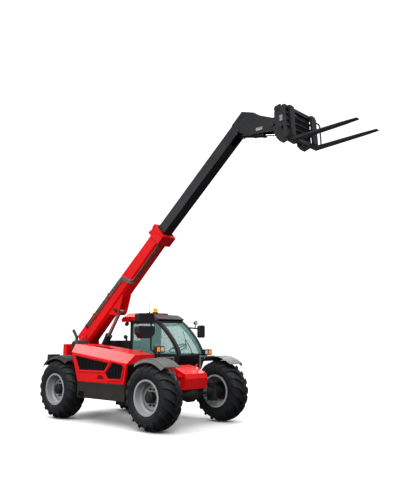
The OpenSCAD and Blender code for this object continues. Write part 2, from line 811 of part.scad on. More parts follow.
// Fenders: shells that arch over the tyres
module fender_shell(r, t, a0, a1, y0, y1) {
    lip = 60;
    lip_w = 40;
    along_y() translate([0, 0, y0]) rotate(-a1) rotate_extrude(angle = a1 - a0) {
        translate([r, 0]) square([t, y1 - y0]);
        translate([r, y1 - y0]) polygon([[0, -t], [t, -t], [-lip, lip_w], [-lip - t, lip_w]]);
    }
}
module fenders_front() {
    stay_d = 40;
    stay_x = -70;
    stay_y = tab_y1 - 40;
    stay_z = fender_r;
    color(mid_grey) both_sides() translate([front_x, 0, axle_z]) {
        fender_shell(fender_r, fender_t, 52, 122, 720, 1130);
        // Stay from the nose's tab, up and out over the tyre
        translate([stay_x, stay_y, tab_z + tab_t - axle_z])
            cylinder(d = stay_d, h = stay_z - tab_z - tab_t + axle_z);
        translate([stay_x, stay_y, stay_z]) sphere(d = stay_d + 4);
        bar([stay_x, stay_y, stay_z], [stay_x, 820, stay_z], stay_d);
    }
}
module fenders_rear() {
    color(black) both_sides() translate([rear_x, 0, axle_z]) {
        fender_shell(fender_r, fender_t, 58, 136, 700, 1130);
        box(-50, 30, frame_half_w, 712, fender_r - 50, fender_r + 8);
    }
}

// Cab: a hollow frame with the windows and the doorway cut out of it
cab_low = [875, 1330];
cab_bulge = [700, 1750];
cab_top = [190, roof_z];
cab_chin = [755, 1000];
cab_knee = [850, 1230];
curve_steps = 10;
sill_z = 1365;
rail = 55;
function front_point(u, inset) =
    let (t = unit(bezier_slope(cab_low, cab_bulge, cab_top, u)))
    bezier(cab_low, cab_bulge, cab_top, u) - inset * [t[1], -t[0]];
module cab_outline(inset) {
    polygon(concat(
        [[inset - cab_rear, cab_z0 + inset], [700 - inset, cab_z0 + inset]],
        [[cab_chin[0] - inset, cab_chin[1]], [cab_knee[0] - inset, cab_knee[1]]],
        [for (i = [0 : curve_steps]) front_point(i / curve_steps, inset)],
        [[cab_top[0] - 2 * inset, roof_z - inset], [inset - cab_rear, roof_z - inset]]
    ));
}
// The part of an outline ahead of and above a corner
module ahead_of(x, z) intersection() {
    children();
    translate([x, z]) square(4000);
}
door_edge = 62;
door_back = -560;
module door_outline(inset) ahead_of(door_back + inset, cab_z0 + door_edge + inset)
    cab_outline(door_edge + inset);
module door_upper_window(inset) ahead_of(door_back + rail + shut_gap + inset, sill_z + inset)
    cab_outline(door_edge + rail + shut_gap + inset);
module door_lower_window(inset) intersection() {
    ahead_of(door_back + rail + shut_gap + inset, 1000 + inset)
        cab_outline(door_edge + rail + shut_gap + inset);
    translate([-1000, 0]) square([3000, sill_z - rail - inset]);
}
module right_window(inset) ahead_of(rail + 15 - cab_rear + inset, sill_z + inset)
    cab_outline(rail + 20 + inset);
front_cut_x = 210;
front_cut_top = roof_z - 50;
module front_window_box(inset) box(
    front_cut_x + inset, 1000, cab_y0 + rail + inset, cab_y1 - rail - inset, sill_z + inset,
    front_cut_top - inset
);
module rear_window_box(inset) box(
    -cab_rear - 1, cab_wall + 1 - cab_rear, cab_y0 + rail + inset, cab_y1 - rail - inset, 1400 + inset,
    roof_z - 60 - inset
);
hinge_x = door_back - 10;
hinge_y = cab_y1 + 15;
hinge_d = 26;
hinge_pin_d = 12;
hinge_zs = [1010, 1700];
strap_h = 60;
hinge_lug = 25;
module cab_frame() {
    color(black) difference() {
        side_plate(cab_y0, cab_y1) cab_outline(0);
        side_plate(cab_y0 + cab_wall, cab_y1 - cab_wall) cab_outline(cab_wall);
        front_window_box(0);
        rear_window_box(0);
        side_plate(cab_y0 - 1, cab_y0 + cab_wall + 1) right_window(0);
        side_plate(cab_y1 - cab_wall - 1, cab_y1 + 1) door_outline(0);
        // Opening under the roof cap
        box(-cab_rear + 90, 60, cab_y0 + 90, cab_y1 - 90, roof_z - cab_wall - 1, roof_z + 1);
    }
    // Door hinges: a lug and an upright pin each
    color(black) for (z = hinge_zs) {
        translate([hinge_x, hinge_y, z - 1 - hinge_lug]) cylinder(d = hinge_d, h = hinge_lug);
        box(hinge_x - hinge_d / 2, hinge_x, cab_y1 - 1, hinge_y, z - 1 - hinge_lug, z - 1);
        translate([hinge_x, hinge_y, z - hinge_lug]) cylinder(d = hinge_pin_d, h = hinge_lug + strap_h);
    }
}
glass_in = 14;
module cab_glass() {
    color(tint) {
        intersection() {
            difference() {
                side_plate(cab_y0, cab_y1) cab_outline(glass_in);
                side_plate(cab_y0 - 1, cab_y1 + 1) cab_outline(glass_in + glass_t);
            }
            front_window_box(seat_gap);
        }
        side_plate(cab_y0 + glass_in, cab_y0 + glass_in + glass_t) right_window(seat_gap);
        intersection() {
            box(glass_in - cab_rear, glass_in + glass_t - cab_rear, 0, 2000, 0, 3000);
            rear_window_box(seat_gap);
        }
    }
}
// The dash's sloping face, which the steering column stands on
column_lean = 28;
dash_foot = [520, 1150];
dash_face = 147;
module cab_floor() {
    floor_z = cab_z0 + cab_wall;
    color(dark_grey) {
        box(-cab_rear + cab_wall + seat_gap, 640, cab_y0 + cab_wall + seat_gap, cab_y1 - cab_wall - side_gap,
            floor_z, floor_z + 12);
        // Seat box and right-hand console
        box(-560, -60, 470, 900, floor_z + 11, 1210);
        side_plate(cab_y0 + cab_wall + seat_gap, 430)
            polygon([[-560, floor_z + 11], [-560, 1300], [-150, 1390], [120, 1330], [220, floor_z + 11]]);
        // Dash under the windscreen
        side_plate(cab_y0 + cab_wall + seat_gap, cab_y1 - cab_wall - 70)
            polygon([
                [dash_foot[0], floor_z + 11], [600, floor_z + 11], [640, 1000], [760, 1230], [770, 1290],
                [690, 1300],
                dash_foot + dash_face * [cos(column_lean), sin(column_lean)], dash_foot
            ]);
    }
}
// The roof seen along the machine: upright edges, then slopes up to a flat crown
roof_edge_h = 85;
roof_slope = 80;
roof_over_in = 14;
roof_over_out = 10;
visor_h = 118;
module roof_section(inset) {
    y0 = cab_y0 - roof_over_in + inset;
    y1 = cab_y1 + roof_over_out - inset;
    low = roof_z - 2 * roof_edge_h;
    crown = roof_z + roof_h + 8 - inset;
    polygon([
        [y0, low], [y0, roof_z + roof_edge_h], [y0 + roof_slope + roof_over_in - inset, crown],
        [y1 - roof_slope + inset, crown], [y1, roof_z + roof_edge_h], [y1, low]
    ]);
}
module roof_prism(inset) rotate([90, 0, 90]) translate([0, 0, -1500]) linear_extrude(3000)
    roof_section(inset);
roof_split = -230;
// How far the rear cap stands up over the visor
cap_step = 32;
// How far the roof's rear overhang hangs below the cab's top
roof_lip = 25;
module roof_side(inset, drop) polygon([
    [inset - 985, roof_z - roof_lip + inset], [inset - 1000, roof_z + 35],
    [inset - 830, roof_z + roof_h - inset],
    [roof_split, roof_z + roof_h - inset], [roof_split, roof_z + seat_gap - drop],
    [-cab_rear - 5, roof_z + seat_gap - drop],
    [-cab_rear - 30, roof_z - roof_lip + inset]
]);
module roof_nose(inset, drop) polygon([
    [roof_split + seat_gap, roof_z + seat_gap - drop],
    [roof_split + seat_gap, roof_z + roof_h - cap_step - inset],
    [60, roof_z + visor_h - inset], [230 - inset, roof_z + 22 - inset],
    [205 - inset, roof_z + seat_gap - drop]
]);
module cab_roof() {
    shell = 30;
    color(red) difference() {
        intersection() {
            side_plate(cab_y0 - 20, cab_y1 + 20) roof_side(0, 0);
            roof_prism(0);
        }
        intersection() {
            side_plate(cab_y0 + 60, cab_y1 - 60) roof_side(shell, 5);
            roof_prism(shell);
            box(-cab_rear + 60, 0, 0, 2000, 0, 3000);
        }
    }
    color(dark_grey) difference() {
        intersection() {
            side_plate(cab_y0 - 20, cab_y1 + 20) roof_nose(0, 0);
            roof_prism(0);
        }
        intersection() {
            side_plate(cab_y0 + 60, cab_y1 - 60) roof_nose(shell, 5);
            roof_prism(shell);
        }
    }
}
module door() {
    color(black) {
        difference() {
            side_plate(cab_y1 - cab_wall, cab_y1) door_outline(shut_gap);
            side_plate(cab_y1 - cab_wall - 1, cab_y1 + 1) {
                door_upper_window(0);
                door_lower_window(0);
            }
        }
        for (z = hinge_zs) {
            difference() {
                union() {
                    translate([hinge_x, hinge_y, z]) cylinder(d = hinge_d, h = strap_h);
                    box(hinge_x, door_back + rail, cab_y1 + 2, hinge_y, z, z + strap_h);
                }
                translate([hinge_x, hinge_y, z - 1]) cylinder(d = hinge_pin_d + 2 * run_gap, h = strap_h + 2);
            }
            box(door_back + shut_gap, door_back + rail, cab_y1 - 1, cab_y1 + 3, z, z + strap_h);
        }
        // Pull handle
        box(330, 450, cab_y1 - 1, cab_y1 + 28, sill_z - 45, sill_z - 15);
    }
}
module door_glass() {
    color(tint) side_plate(cab_y1 - glass_in - glass_t, cab_y1 - glass_in) {
        door_upper_window(seat_gap);
        door_lower_window(seat_gap);
    }
}
module seat() {
    color(dark_grey) {
        translate([-310, 685, 1265]) linear_extrude(110) rounded_rect(500, 480, 60);
        translate([-520, 685, 1590]) rotate([0, -12, 0]) rotate([0, 90, 0]) linear_extrude(110, center = true)
            rounded_rect(640, 450, 70);
    }
    color(black) box(-460, -160, 540, 830, 1210 + seat_gap, 1266);
}
module steering_column() {
    wheel_d = 380;
    grip_d = 32;
    reach = 330;
    spoke_w = 36;
    spoke_t = 18;
    base = dash_foot + dash_face / 2 * [cos(column_lean), sin(column_lean)];
    color(black) translate([base[0], 690, base[1]]) rotate([0, -column_lean, 0]) {
        translate([0, 0, seat_gap]) cylinder(d = 70, h = reach);
        translate([0, 0, reach]) rotate_extrude() translate([wheel_d / 2, 0]) circle(d = grip_d, $fn = 24);
        translate([0, 0, reach - 15]) cylinder(d = 90, h = 30);
        for (a = [30, 150, 270]) rotate(a) translate([0, -spoke_w / 2, reach - spoke_t / 2])
            cube([wheel_d / 2, spoke_w, spoke_t]);
    }
}

// Lamps, mirrors and beacon
post_foot = [front_x - 370, -frame_half_w - 28, 1030];
post_bend = [front_x - 350, -505, 1380];
head_lamp_z = 1420;
module head_lamp() {
    height = 120;
    width = 220;
    depth = 95;
    lens = 92;
    inset = 14;
    color(black) difference() {
        translate([0, 0, height / 2]) along_x() linear_extrude(depth, center = true)
            rounded_rect(height, width, 18);
        // Lens pockets for the headlamp and the indicator
        for (y = [-width / 4, width / 4])
            translate([depth / 2 - inset, y - lens / 2, inset]) cube([depth, lens, height - 2 * inset]);
    }
}
module round_lamp(d) {
    rim = 8;
    color(black) along_x() rotate_extrude() polygon([
        [0, 0], [d * 0.28, 0], [d / 2, d * 0.5], [d / 2, d * 0.72], [d / 2 - rim, d * 0.72],
        [d / 2 - rim, d * 0.62], [0, d * 0.62]
    ]);
}
work_lamp_d = 90;
work_lamp_x = -cab_rear - 150;
module work_lamp_stem(y, z0, z1) {
    color(black) box(work_lamp_x - 35, work_lamp_x, y - 15, y + 15, z0, z1);
}
module lamps() {
    foot_x = 875 + seat_gap;
    lamp_back = 400;
    lamp_foot = sqrt(fender_r * fender_r - lamp_back * lamp_back);
    translate([post_bend[0], post_bend[1], head_lamp_z]) head_lamp();
    // Left lamp on a bracket at the foot of the cab's front pillar
    color(black) box(foot_x, foot_x + 70, 1035, 1075, 1300, 1345);
    translate([foot_x + 60, 1072, 1335]) head_lamp();
    // Tail lamps on the rear fenders and in the tail
    color(black) both_sides() {
        translate([rear_x, 0, axle_z]) difference() {
            box(-lamp_back - 70, 70 - lamp_back, 830, 1060, lamp_foot - 40, lamp_foot + 145);
            along_y() cylinder(r = fender_r + fender_t + seat_gap, h = 2 * track);
        }
        box(
            tail_x, tail_x + tail_lamp_t - seat_gap, tail_lamp_y0 + seat_gap, tail_lamp_y1 - seat_gap,
            tail_lamp_z0 + seat_gap, tail_lamp_z1 - seat_gap
        );
    }
    // Work lamps under the roof's overhang and on the cover behind the cab
    roof_lamp_z = roof_z - 75;
    translate([work_lamp_x, 360, roof_lamp_z]) rotate(180) round_lamp(work_lamp_d);
    work_lamp_stem(360, roof_lamp_z, roof_z - roof_lip - seat_gap);
    translate([work_lamp_x, 330, cover_z1 + 85]) rotate(180) round_lamp(work_lamp_d);
    work_lamp_stem(330, cover_z1 + seat_gap, cover_z1 + 85);
}
mast_foot = [front_x - 545, -545, 1480];
mast_top = 2170;
// A mirror's outline; the lower corners may be cut off
module mirror_outline(w, h, r, cut) difference() {
    rounded_rect(w, h, r);
    if (cut > 0)
        for (side = [-1, 1])
            polygon([
                [side * w, -h], [side * w, cut - h / 2], [side * w / 2, cut - h / 2],
                [side * (w / 2 - cut), -h / 2], [side * (w / 2 - cut), -h]
            ]);
}
module mirror_shell(w, h, t, cut = 0) {
    border = 18;
    recess = 8;
    corner = 40;
    color(black) rotate([90, 0, 90]) difference() {
        linear_extrude(t) mirror_outline(w, h, corner, cut);
        translate([0, 0, -1]) linear_extrude(recess + 1)
            mirror_outline(w - 2 * border, h - 2 * border, corner - border, cut);
    }
}
arm_root = [432, 1050, 1925];
arm_end = [700, 1105, 1900];
module mirrors() {
    post_d = 44;
    mast_d = 32;
    stalk = [580, 1083];
    mirror_y = -745;
    color(black) {
        // Post on the chassis, for the right lamp and the mirrors' mast
        box(post_foot[0] - 50, post_foot[0] + 50, -frame_half_w - 20, -frame_half_w, 960, 1070);
        bar(post_foot, post_bend, post_d);
        translate(post_bend) sphere(d = post_d + 4);
        translate(post_bend) cylinder(d = post_d, h = head_lamp_z - seat_gap - post_bend[2]);
        bar(post_foot + 0.88 * (post_bend - post_foot), mast_foot, mast_d);
        translate(mast_foot) sphere(d = mast_d + 4);
        translate(mast_foot) cylinder(d = mast_d, h = mast_top - mast_foot[2]);
        bar(arm_root, arm_end, mast_d);
        translate([stalk[0], stalk[1], 1905]) cylinder(d = 24, h = 90);
    }
    translate([mast_foot[0] - 40, mirror_y, 2090]) mirror_shell(400, 180, 130);
    translate([mast_foot[0] - 40, mirror_y, 1815]) mirror_shell(420, 240, 140, 100);
    translate([arm_end[0] - 10, 1108, 1840]) mirror_shell(160, 270, 85);
    translate([stalk[0] - 35, stalk[1], 2030]) round_lamp(work_lamp_d);
}
module beacon() {
    base_r = 62;
    x = roof_split - base_r - 8;
    y = 690;
    lens_r = 48;
    height = 112;
    aerial_back = 190;
    foot = roof_z + roof_h + seat_gap;
    color(amber) translate([x, y, foot]) rotate_extrude() polygon([
        [0, 0], [base_r, 0], [base_r, 22], [lens_r, 26], [lens_r, height - 12], [lens_r - 10, height],
        [0, height]
    ]);
    color(black) {
        translate([x - aerial_back, y, foot]) cylinder(d1 = 40, d2 = 20, h = 40);
        translate([x - aerial_back, y, foot + 30]) cylinder(d = 8, h = 310);
    }
}

// Boom: local X along the boom from the pivot, local Z across it
outer_top = 222;
outer_tail = -150;
collar_s = outer_len - 250;
collar_half_w = 190;
collar_top = 268;
collar_bottom = -132;
foot_bottom = -195;
mouth_bottom = -100;
top_chamfer = 34;
low_chamfer = 55;
function outer_bottom(s) = foot_bottom + (mouth_bottom - foot_bottom) * s / collar_s;
module outer_slice(inset, s) {
    w = outer_half_w - inset;
    top = outer_top - inset;
    low = outer_bottom(s) + inset;
    tc = top_chamfer - 0.4 * inset;
    lc = low_chamfer - 0.4 * inset;
    translate([s, 0, 0]) rotate([90, 0, 90]) linear_extrude(1) polygon([
        [-w, low + lc], [lc - w, low], [w - lc, low], [w, low + lc], [w, top - tc], [w - tc, top],
        [tc - w, top], [-w, top - tc]
    ]);
}
module outer_form(inset, s0, s1) hull() {
    outer_slice(inset, s0);
    outer_slice(inset, s1 - 1);
}
rod_pin_s = 1240;
rod_pin_t = -265;
rod_lug_y = 95;
rod_lug_t = 28;
pad_t = 18;
module boom_outer() {
    foot_r = 78;
    eye_slot = 56;
    color(red) difference() {
        union() {
            difference() {
                union() {
                    outer_form(0, outer_tail, collar_s + 5);
                    both_sides() side_plate(rod_lug_y, rod_lug_y + rod_lug_t) {
                        polygon([[1000, -90], [1000, -172], [1165, -330], [1315, -330], [1620, -145],
                            [1620, -90]]);
                        translate([rod_pin_s, rod_pin_t]) circle(86);
                    }
                    box(collar_s, outer_len, -collar_half_w, collar_half_w, collar_bottom, collar_top);
                }
                outer_form(outer_wall, outer_tail - 1, collar_s + 6);
                translate([0, 0, boom_axis_t]) box(
                    collar_s - 1, outer_len + 1, -inner_w / 2 - pad_t, inner_w / 2 + pad_t,
                    -inner_w / 2 - pad_t, inner_w / 2 + pad_t
                );
            }
            along_y() cylinder(r = foot_r, h = 2 * outer_half_w, center = true);
        }
        along_y() cylinder(d = pivot_d + 2 * run_gap, h = 4 * outer_half_w, center = true);
        translate([rod_pin_s, 0, rod_pin_t]) along_y()
            cylinder(d = lift_pin_d, h = 4 * outer_half_w, center = true);
        // Slot in the underside that takes the rod's eye when the boom is low
        box(rod_pin_s - 60, rod_pin_s + 95, -eye_slot, eye_slot, 2 * foot_bottom, mouth_bottom);
        // Notches in the collar's corners
        both_sides() box(collar_s + 60, collar_s + 150, collar_half_w - 24, collar_half_w + 1, 40,
            collar_top + 1);
    }
}
module wear_pads() {
    long = 150;
    proud = 12;
    half = inner_w / 2;
    slack = 0.5;
    s0 = outer_len - long + proud;
    color(black) translate([0, 0, boom_axis_t]) for (a = [0 : 90 : 270]) rotate([a, 0, 0])
        box(s0, outer_len + proud, -half + 30, half - 30, half + slack, half + pad_t - seat_gap);
}
pipe_d = 22;
pipe_pitch = 27;
pipe_high = 128;
pipe_start = 300;
pipe_y = -outer_half_w - pipe_d / 2 - seat_gap;
function pipe_under(s) = outer_bottom(s) - pipe_d / 2 - 3;
// Points of one steel pipe: along the side, round under the boom, then forward to the mouth
function pipe_path(o) = [
    [pipe_start, pipe_y, pipe_high + o], [900, pipe_y, pipe_high + o], [1780, pipe_y, pipe_high + o],
    [1850 + 0.6 * o, pipe_y, pipe_high - 15 + 0.9 * o], [1905 + o, pipe_y, pipe_high - 60 + 0.6 * o],
    [1935 + o, pipe_y, 20 + 0.2 * o], [1960 + o, pipe_y, -45], [1990 + o, pipe_y, -95],
    [2030 + o, pipe_y + 36 - 0.4 * o, pipe_under(2150) - 2 + 0.3 * o],
    [2100 + 0.7 * o, pipe_y + 62 - 0.9 * o, pipe_under(2150) - 3], [2200, pipe_y + 72 - o, pipe_under(2200)],
    [collar_s - 2, pipe_y + 72 - o, pipe_under(collar_s) - 1]
];
module boom_pipes() {
    count = 4;
    half = pipe_pitch * (count - 1) / 2;
    bundle = half + pipe_d / 2 + 1;
    clamp_w = 44;
    clamp_t = 7;
    face = outer_half_w + seat_gap;
    color(dark_grey) for (k = [0 : count - 1]) swept(pipe_path(k * pipe_pitch - half), pipe_d);
    // Block the pipes start from, and the clamps that hold the bundle to the boom's side
    color(black) box(pipe_start - 50, pipe_start - 1, -face - pipe_d, -face, pipe_high - bundle,
        pipe_high + bundle);
    color(red) for (s = [610, 1280]) difference() {
        box(
            s, s + clamp_w, -face - pipe_d - clamp_t - 1, -face,
            pipe_high - bundle - clamp_t, pipe_high + bundle + clamp_t
        );
        box(s - 1, s + clamp_w + 1, -face - pipe_d - 1, 1 - face, pipe_high - bundle, pipe_high + bundle);
    }
}
tube_rear = outer_len - boom_overlap;
tilt_pin_s = neck_s - 40;
tilt_pin_t = -20;
tilt_pin_d = 44;
head_r = 96;
head_boss_r = 72;
neck_top = boom_axis_t + inner_w / 2;
neck_low = boom_axis_t - inner_w / 2;
module neck_outline() {
    translate([neck_s, 0]) polygon([
        [0, neck_top], [0, neck_low], [110, -275], [504, -676], [567, head_t - 78], [707, head_t + 60],
        [511, -172], [490, -55], [330, neck_top]
    ]);
    translate([head_s, head_t]) circle(head_r);
}
// The hollow of the gooseneck, open along its lower edge, and the boss it leaves round the head pin
module neck_hollow() difference() {
    translate([neck_s, 0]) polygon([
        [-400, neck_top - inner_wall], [315, neck_top - inner_wall - 10], [468, -70], [486, -178],
        [600, -440],
        [760, -640], [760, -860], [380, -860], [-10, -320], [-130, -60], [-400, neck_low + inner_wall]
    ]);
    translate([head_s, head_t]) circle(head_boss_r);
}
module boom_inner() {
    stub = 24;
    color(black) {
        difference() {
            union() {
                translate([tube_rear, 0, boom_axis_t]) rotate([90, 0, 90])
                    linear_extrude(neck_s + 100 - tube_rear) rounded_rect(inner_w, inner_w, 22);
                side_plate(-neck_half_w, neck_half_w) neck_outline();
            }
            translate([tube_rear - 1, 0, boom_axis_t]) rotate([90, 0, 90])
                linear_extrude(neck_s - 300 - tube_rear)
                    rounded_rect(inner_w - 2 * inner_wall, inner_w - 2 * inner_wall, 12);
            side_plate(neck_plate - neck_half_w, neck_half_w - neck_plate) neck_hollow();
            // Long lightening slot with round ends in the gooseneck's cheeks
            both_sides() side_plate(neck_half_w - 4, neck_half_w + 1) {
                for (p = [[140, 110], [290, 75]]) translate([neck_s, 0] + p) circle(34);
                translate([neck_s, 0]) polygon([[132, 77], [282, 42], [298, 108], [148, 143]]);
            }
        }
        translate([head_s, 0, head_t]) along_y()
            cylinder(d = head_pin_d, h = 2 * (neck_half_w + side_gap + lug_t + stub), center = true);
        translate([tilt_pin_s, 0, tilt_pin_t]) along_y()
            cylinder(d = tilt_pin_d, h = 2 * neck_half_w - 4, center = true);
    }
}

// Head: tool carrier, fork carriage and forks, local origin at the head pin
lug_t = 30;
lever_x = 76;
lever_z = -205;
top_tube_x = 218;
top_tube_z = 150;
top_tube_d = 92;
hook_y = 325;
hook_t = 26;
tilt_eye_w = 120;
clevis_y = tilt_eye_w / 2 + side_gap;
clevis_t = 24;
beam_back = 250;
beam_front = 330;
beam_low = -390;
beam_high = -310;
module tool_carrier() {
    lug_y = neck_half_w + side_gap;
    color(black) carriage_place() difference() {
        union() {
            both_sides() side_plate(lug_y, lug_y + lug_t) {
                circle(82);
                translate([lever_x, lever_z]) circle(62);
                polygon([
                    [-60, 55], [top_tube_x - 30, 195], [beam_front, 120], [beam_front, beam_low],
                    [200, beam_low],
                    [lever_x - 40, lever_z - 47], [-75, -33]
                ]);
            }
            translate([top_tube_x, 0, top_tube_z]) along_y()
                cylinder(d = top_tube_d, h = 2 * (hook_y + hook_t), center = true);
            box(beam_back, beam_front, -hook_y, hook_y, beam_low, beam_high);
            // Clevis plates on either side of the tilt rod's eye
            both_sides() side_plate(clevis_y, clevis_y + clevis_t) {
                translate([lever_x, lever_z]) circle(58);
                polygon([
                    [lever_x - 38, lever_z - 44], [lever_x + 38, lever_z + 44], [beam_front, beam_high],
                    [beam_front, beam_low], [beam_back, beam_low]
                ]);
            }
        }
        along_y() cylinder(d = head_pin_d + 2 * run_gap, h = 4 * hook_y, center = true);
    }
}
bar_x0 = 440;
bar_x1 = shank_x - seat_gap;
module fork_carriage() {
    lock_d = 60;
    rod_d = 38;
    color(black) carriage_place() {
        difference() {
            both_sides() side_plate(hook_y, hook_y + hook_t) polygon([
                [160, 60], [190, 205], [300, 215], [340, 120], [bar_x0 + 10, 95], [bar_x0 + 10, -480],
                [300, -520], [230, -470], [165, -380]
            ]);
            translate([top_tube_x, 0, top_tube_z]) along_y()
                cylinder(d = top_tube_d + 2 * seat_gap, h = 4 * hook_y, center = true);
        }
        box(bar_x0, bar_x1, -carriage_half_w, carriage_half_w, 30, 95);
        box(bar_x0, bar_x1, -carriage_half_w, carriage_half_w, -500, -430);
        for (z = [-60, -170, -280]) translate([bar_x0 + 28, 0, z]) along_y()
            cylinder(d = rod_d, h = 2 * carriage_half_w - 10, center = true);
        both_sides() {
            box(bar_x0, bar_x1, carriage_half_w - 26, carriage_half_w, -501, 31);
            translate([320, hook_y + hook_t - 1, -216]) along_y() cylinder(d = lock_d, h = 40);
        }
    }
}
module fork() {
    tip_t = 14;
    tip_w = 90;
    taper = 260;
    top_z = fork_z0 + shank_h - fork_t / 2;
    intersection() {
        side_plate(-fork_w / 2, fork_w / 2) {
            polygon([
                [shank_x, fork_z0 + 60], [shank_x + 20, fork_z0], [fork_tip_x, fork_z0],
                [fork_tip_x, fork_z0 + tip_t], [shank_x + 3 * fork_t, fork_z0 + fork_t],
                [shank_x + fork_t, fork_z0 + fork_t + 60], [shank_x + fork_t, top_z], [shank_x, top_z]
            ]);
            translate([shank_x + fork_t / 2, top_z]) circle(fork_t / 2);
        }
        // The blade narrows to its tip
        translate([0, 0, fork_z0 - 100]) linear_extrude(shank_h + 300) polygon([
            [shank_x - 10, -fork_w / 2], [fork_tip_x - taper, -fork_w / 2], [fork_tip_x, -tip_w / 2],
            [fork_tip_x, tip_w / 2], [fork_tip_x - taper, fork_w / 2], [shank_x - 10, fork_w / 2]
        ]);
    }
}
module forks() {
    color(black) carriage_place() for (side = [-1, 1])
        translate([0, side * fork_half_gap, 0]) fork();
}

// Hydraulic cylinders
rod_pin_x = pivot_x + rod_pin_s * cos(boom_angle) - rod_pin_t * sin(boom_angle);
rod_pin_z = pivot_z + rod_pin_s * sin(boom_angle) + rod_pin_t * cos(boom_angle);
lift_len = norm([rod_pin_x - lift_pin_x, rod_pin_z - lift_pin_z]);
lift_lean = atan2(rod_pin_z - lift_pin_z, rod_pin_x - lift_pin_x);
lift_rod_len = 1012;
module lift_place() translate([lift_pin_x, 0, lift_pin_z]) rotate([0, -lift_lean, 0]) children();
// Barrel along local X from its pin at the origin
module barrel(pin_d, eye_w, d, rod_d, length, hollow) {
    gland = 40;
    difference() {
        union() {
            along_y() cylinder(d = d * 0.85, h = eye_w, center = true);
            translate([d * 0.2, 0, 0]) along_x() cylinder(d = d, h = length - d * 0.2);
            translate([length - gland, 0, 0]) along_x() cylinder(d = d + 14, h = gland);
        }
        along_y() cylinder(d = pin_d + 2 * run_gap, h = 2 * d, center = true);
        translate([hollow, 0, 0]) along_x() cylinder(d = rod_d + 2 * run_gap, h = length);
        // Flats that leave the eye free beside its lugs
        both_sides() box(-d, d * 0.55, eye_w / 2, d, -d, d);
    }
}
module lift_barrel() color(black) lift_place()
    barrel(lift_pin_d, lift_eye_w, lift_barrel_d, lift_rod_d, lift_barrel_len, 115);
module lift_rod() color(steel) lift_place() {
    eye_d = 110;
    eye_w = 90;
    translate([lift_len - lift_rod_len, 0, 0]) along_x()
        cylinder(d = lift_rod_d, h = lift_rod_len - eye_d * 0.3);
    translate([lift_len, 0, 0]) along_y() cylinder(d = eye_d, h = eye_w, center = true);
    translate([lift_len, 0, 0]) along_y()
        cylinder(d = lift_pin_d - 2, h = 2 * rod_lug_y - 2 * side_gap, center = true);
}
lever_wx = head_x + lever_x * cos(fork_tilt) - lever_z * sin(fork_tilt);
lever_wz = head_z + lever_x * sin(fork_tilt) + lever_z * cos(fork_tilt);
tilt_wx = pivot_x + tilt_pin_s * cos(boom_angle) - tilt_pin_t * sin(boom_angle);
tilt_wz = pivot_z + tilt_pin_s * sin(boom_angle) + tilt_pin_t * cos(boom_angle);
tilt_len = norm([lever_wx - tilt_wx, lever_wz - tilt_wz]);
tilt_lean = atan2(lever_wz - tilt_wz, lever_wx - tilt_wx);
tilt_rod_len = 630;
module tilt_place() translate([tilt_wx, 0, tilt_wz]) rotate([0, -tilt_lean, 0]) children();
module tilt_barrel() color(black) tilt_place()
    barrel(tilt_pin_d, 90, tilt_barrel_d, tilt_rod_d, tilt_barrel_len, 66);
module tilt_rod() color(steel) tilt_place() {
    eye_d = 84;
    translate([tilt_len - tilt_rod_len, 0, 0]) along_x()
        cylinder(d = tilt_rod_d, h = tilt_rod_len - eye_d * 0.3);
    translate([tilt_len, 0, 0]) along_y() cylinder(d = eye_d, h = tilt_eye_w, center = true);
}

placed() chassis_frame();
placed() front_nose();
placed() rear_tail();
placed() front_axle();
placed() rear_axle();
placed() at_wheel(1, 1) knuckle();  // knuckle_fl
placed() at_wheel(1, -1) knuckle();  // knuckle_fr
placed() at_wheel(-1, 1) knuckle();  // knuckle_rl
placed() at_wheel(-1, -1) knuckle();  // knuckle_rr
placed() at_wheel(1, 1) rim();  // rim_fl
placed() at_wheel(1, -1) rim();  // rim_fr
placed() at_wheel(-1, 1) rim();  // rim_rl
placed() at_wheel(-1, -1) rim();  // rim_rr
placed() at_wheel(1, 1) hub();  // hub_fl
placed() at_wheel(1, -1) hub();  // hub_fr
placed() at_wheel(-1, 1) hub();  // hub_rl
placed() at_wheel(-1, -1) hub();  // hub_rr
placed() at_wheel(1, 1) tyre();  // tyre_fl
placed() at_wheel(1, -1) tyre();  // tyre_fr
placed() at_wheel(-1, 1) tyre();  // tyre_rl
placed() at_wheel(-1, -1) tyre();  // tyre_rr
placed() hood();
placed() hood_grilles();
placed() side_skirt();
placed() engine_block();
placed() exhaust();
placed() left_tank();
placed() left_cover();
placed() fenders_front();
placed() fenders_rear();
placed() cab_frame();
placed() cab_floor();
placed() cab_roof();
placed() cab_glass();
placed() door();
placed() door_glass();
placed() seat();
placed() steering_column();
placed() lamps();
placed() mirrors();
placed() beacon();
placed() boom_place() boom_outer();
placed() boom_place() boom_pipes();
placed() boom_place() wear_pads();
placed() boom_place() boom_inner();
placed() tool_carrier();
placed() fork_carriage();
placed() forks();
placed() lift_barrel();
placed() lift_rod();
placed() tilt_barrel();
placed() tilt_rod();
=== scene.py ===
"""Finishes and small pieces of a telescopic handler, set over its solids."""
import json
import math
from collections import namedtuple

import bmesh
import bpy
from mathutils import Matrix, Vector


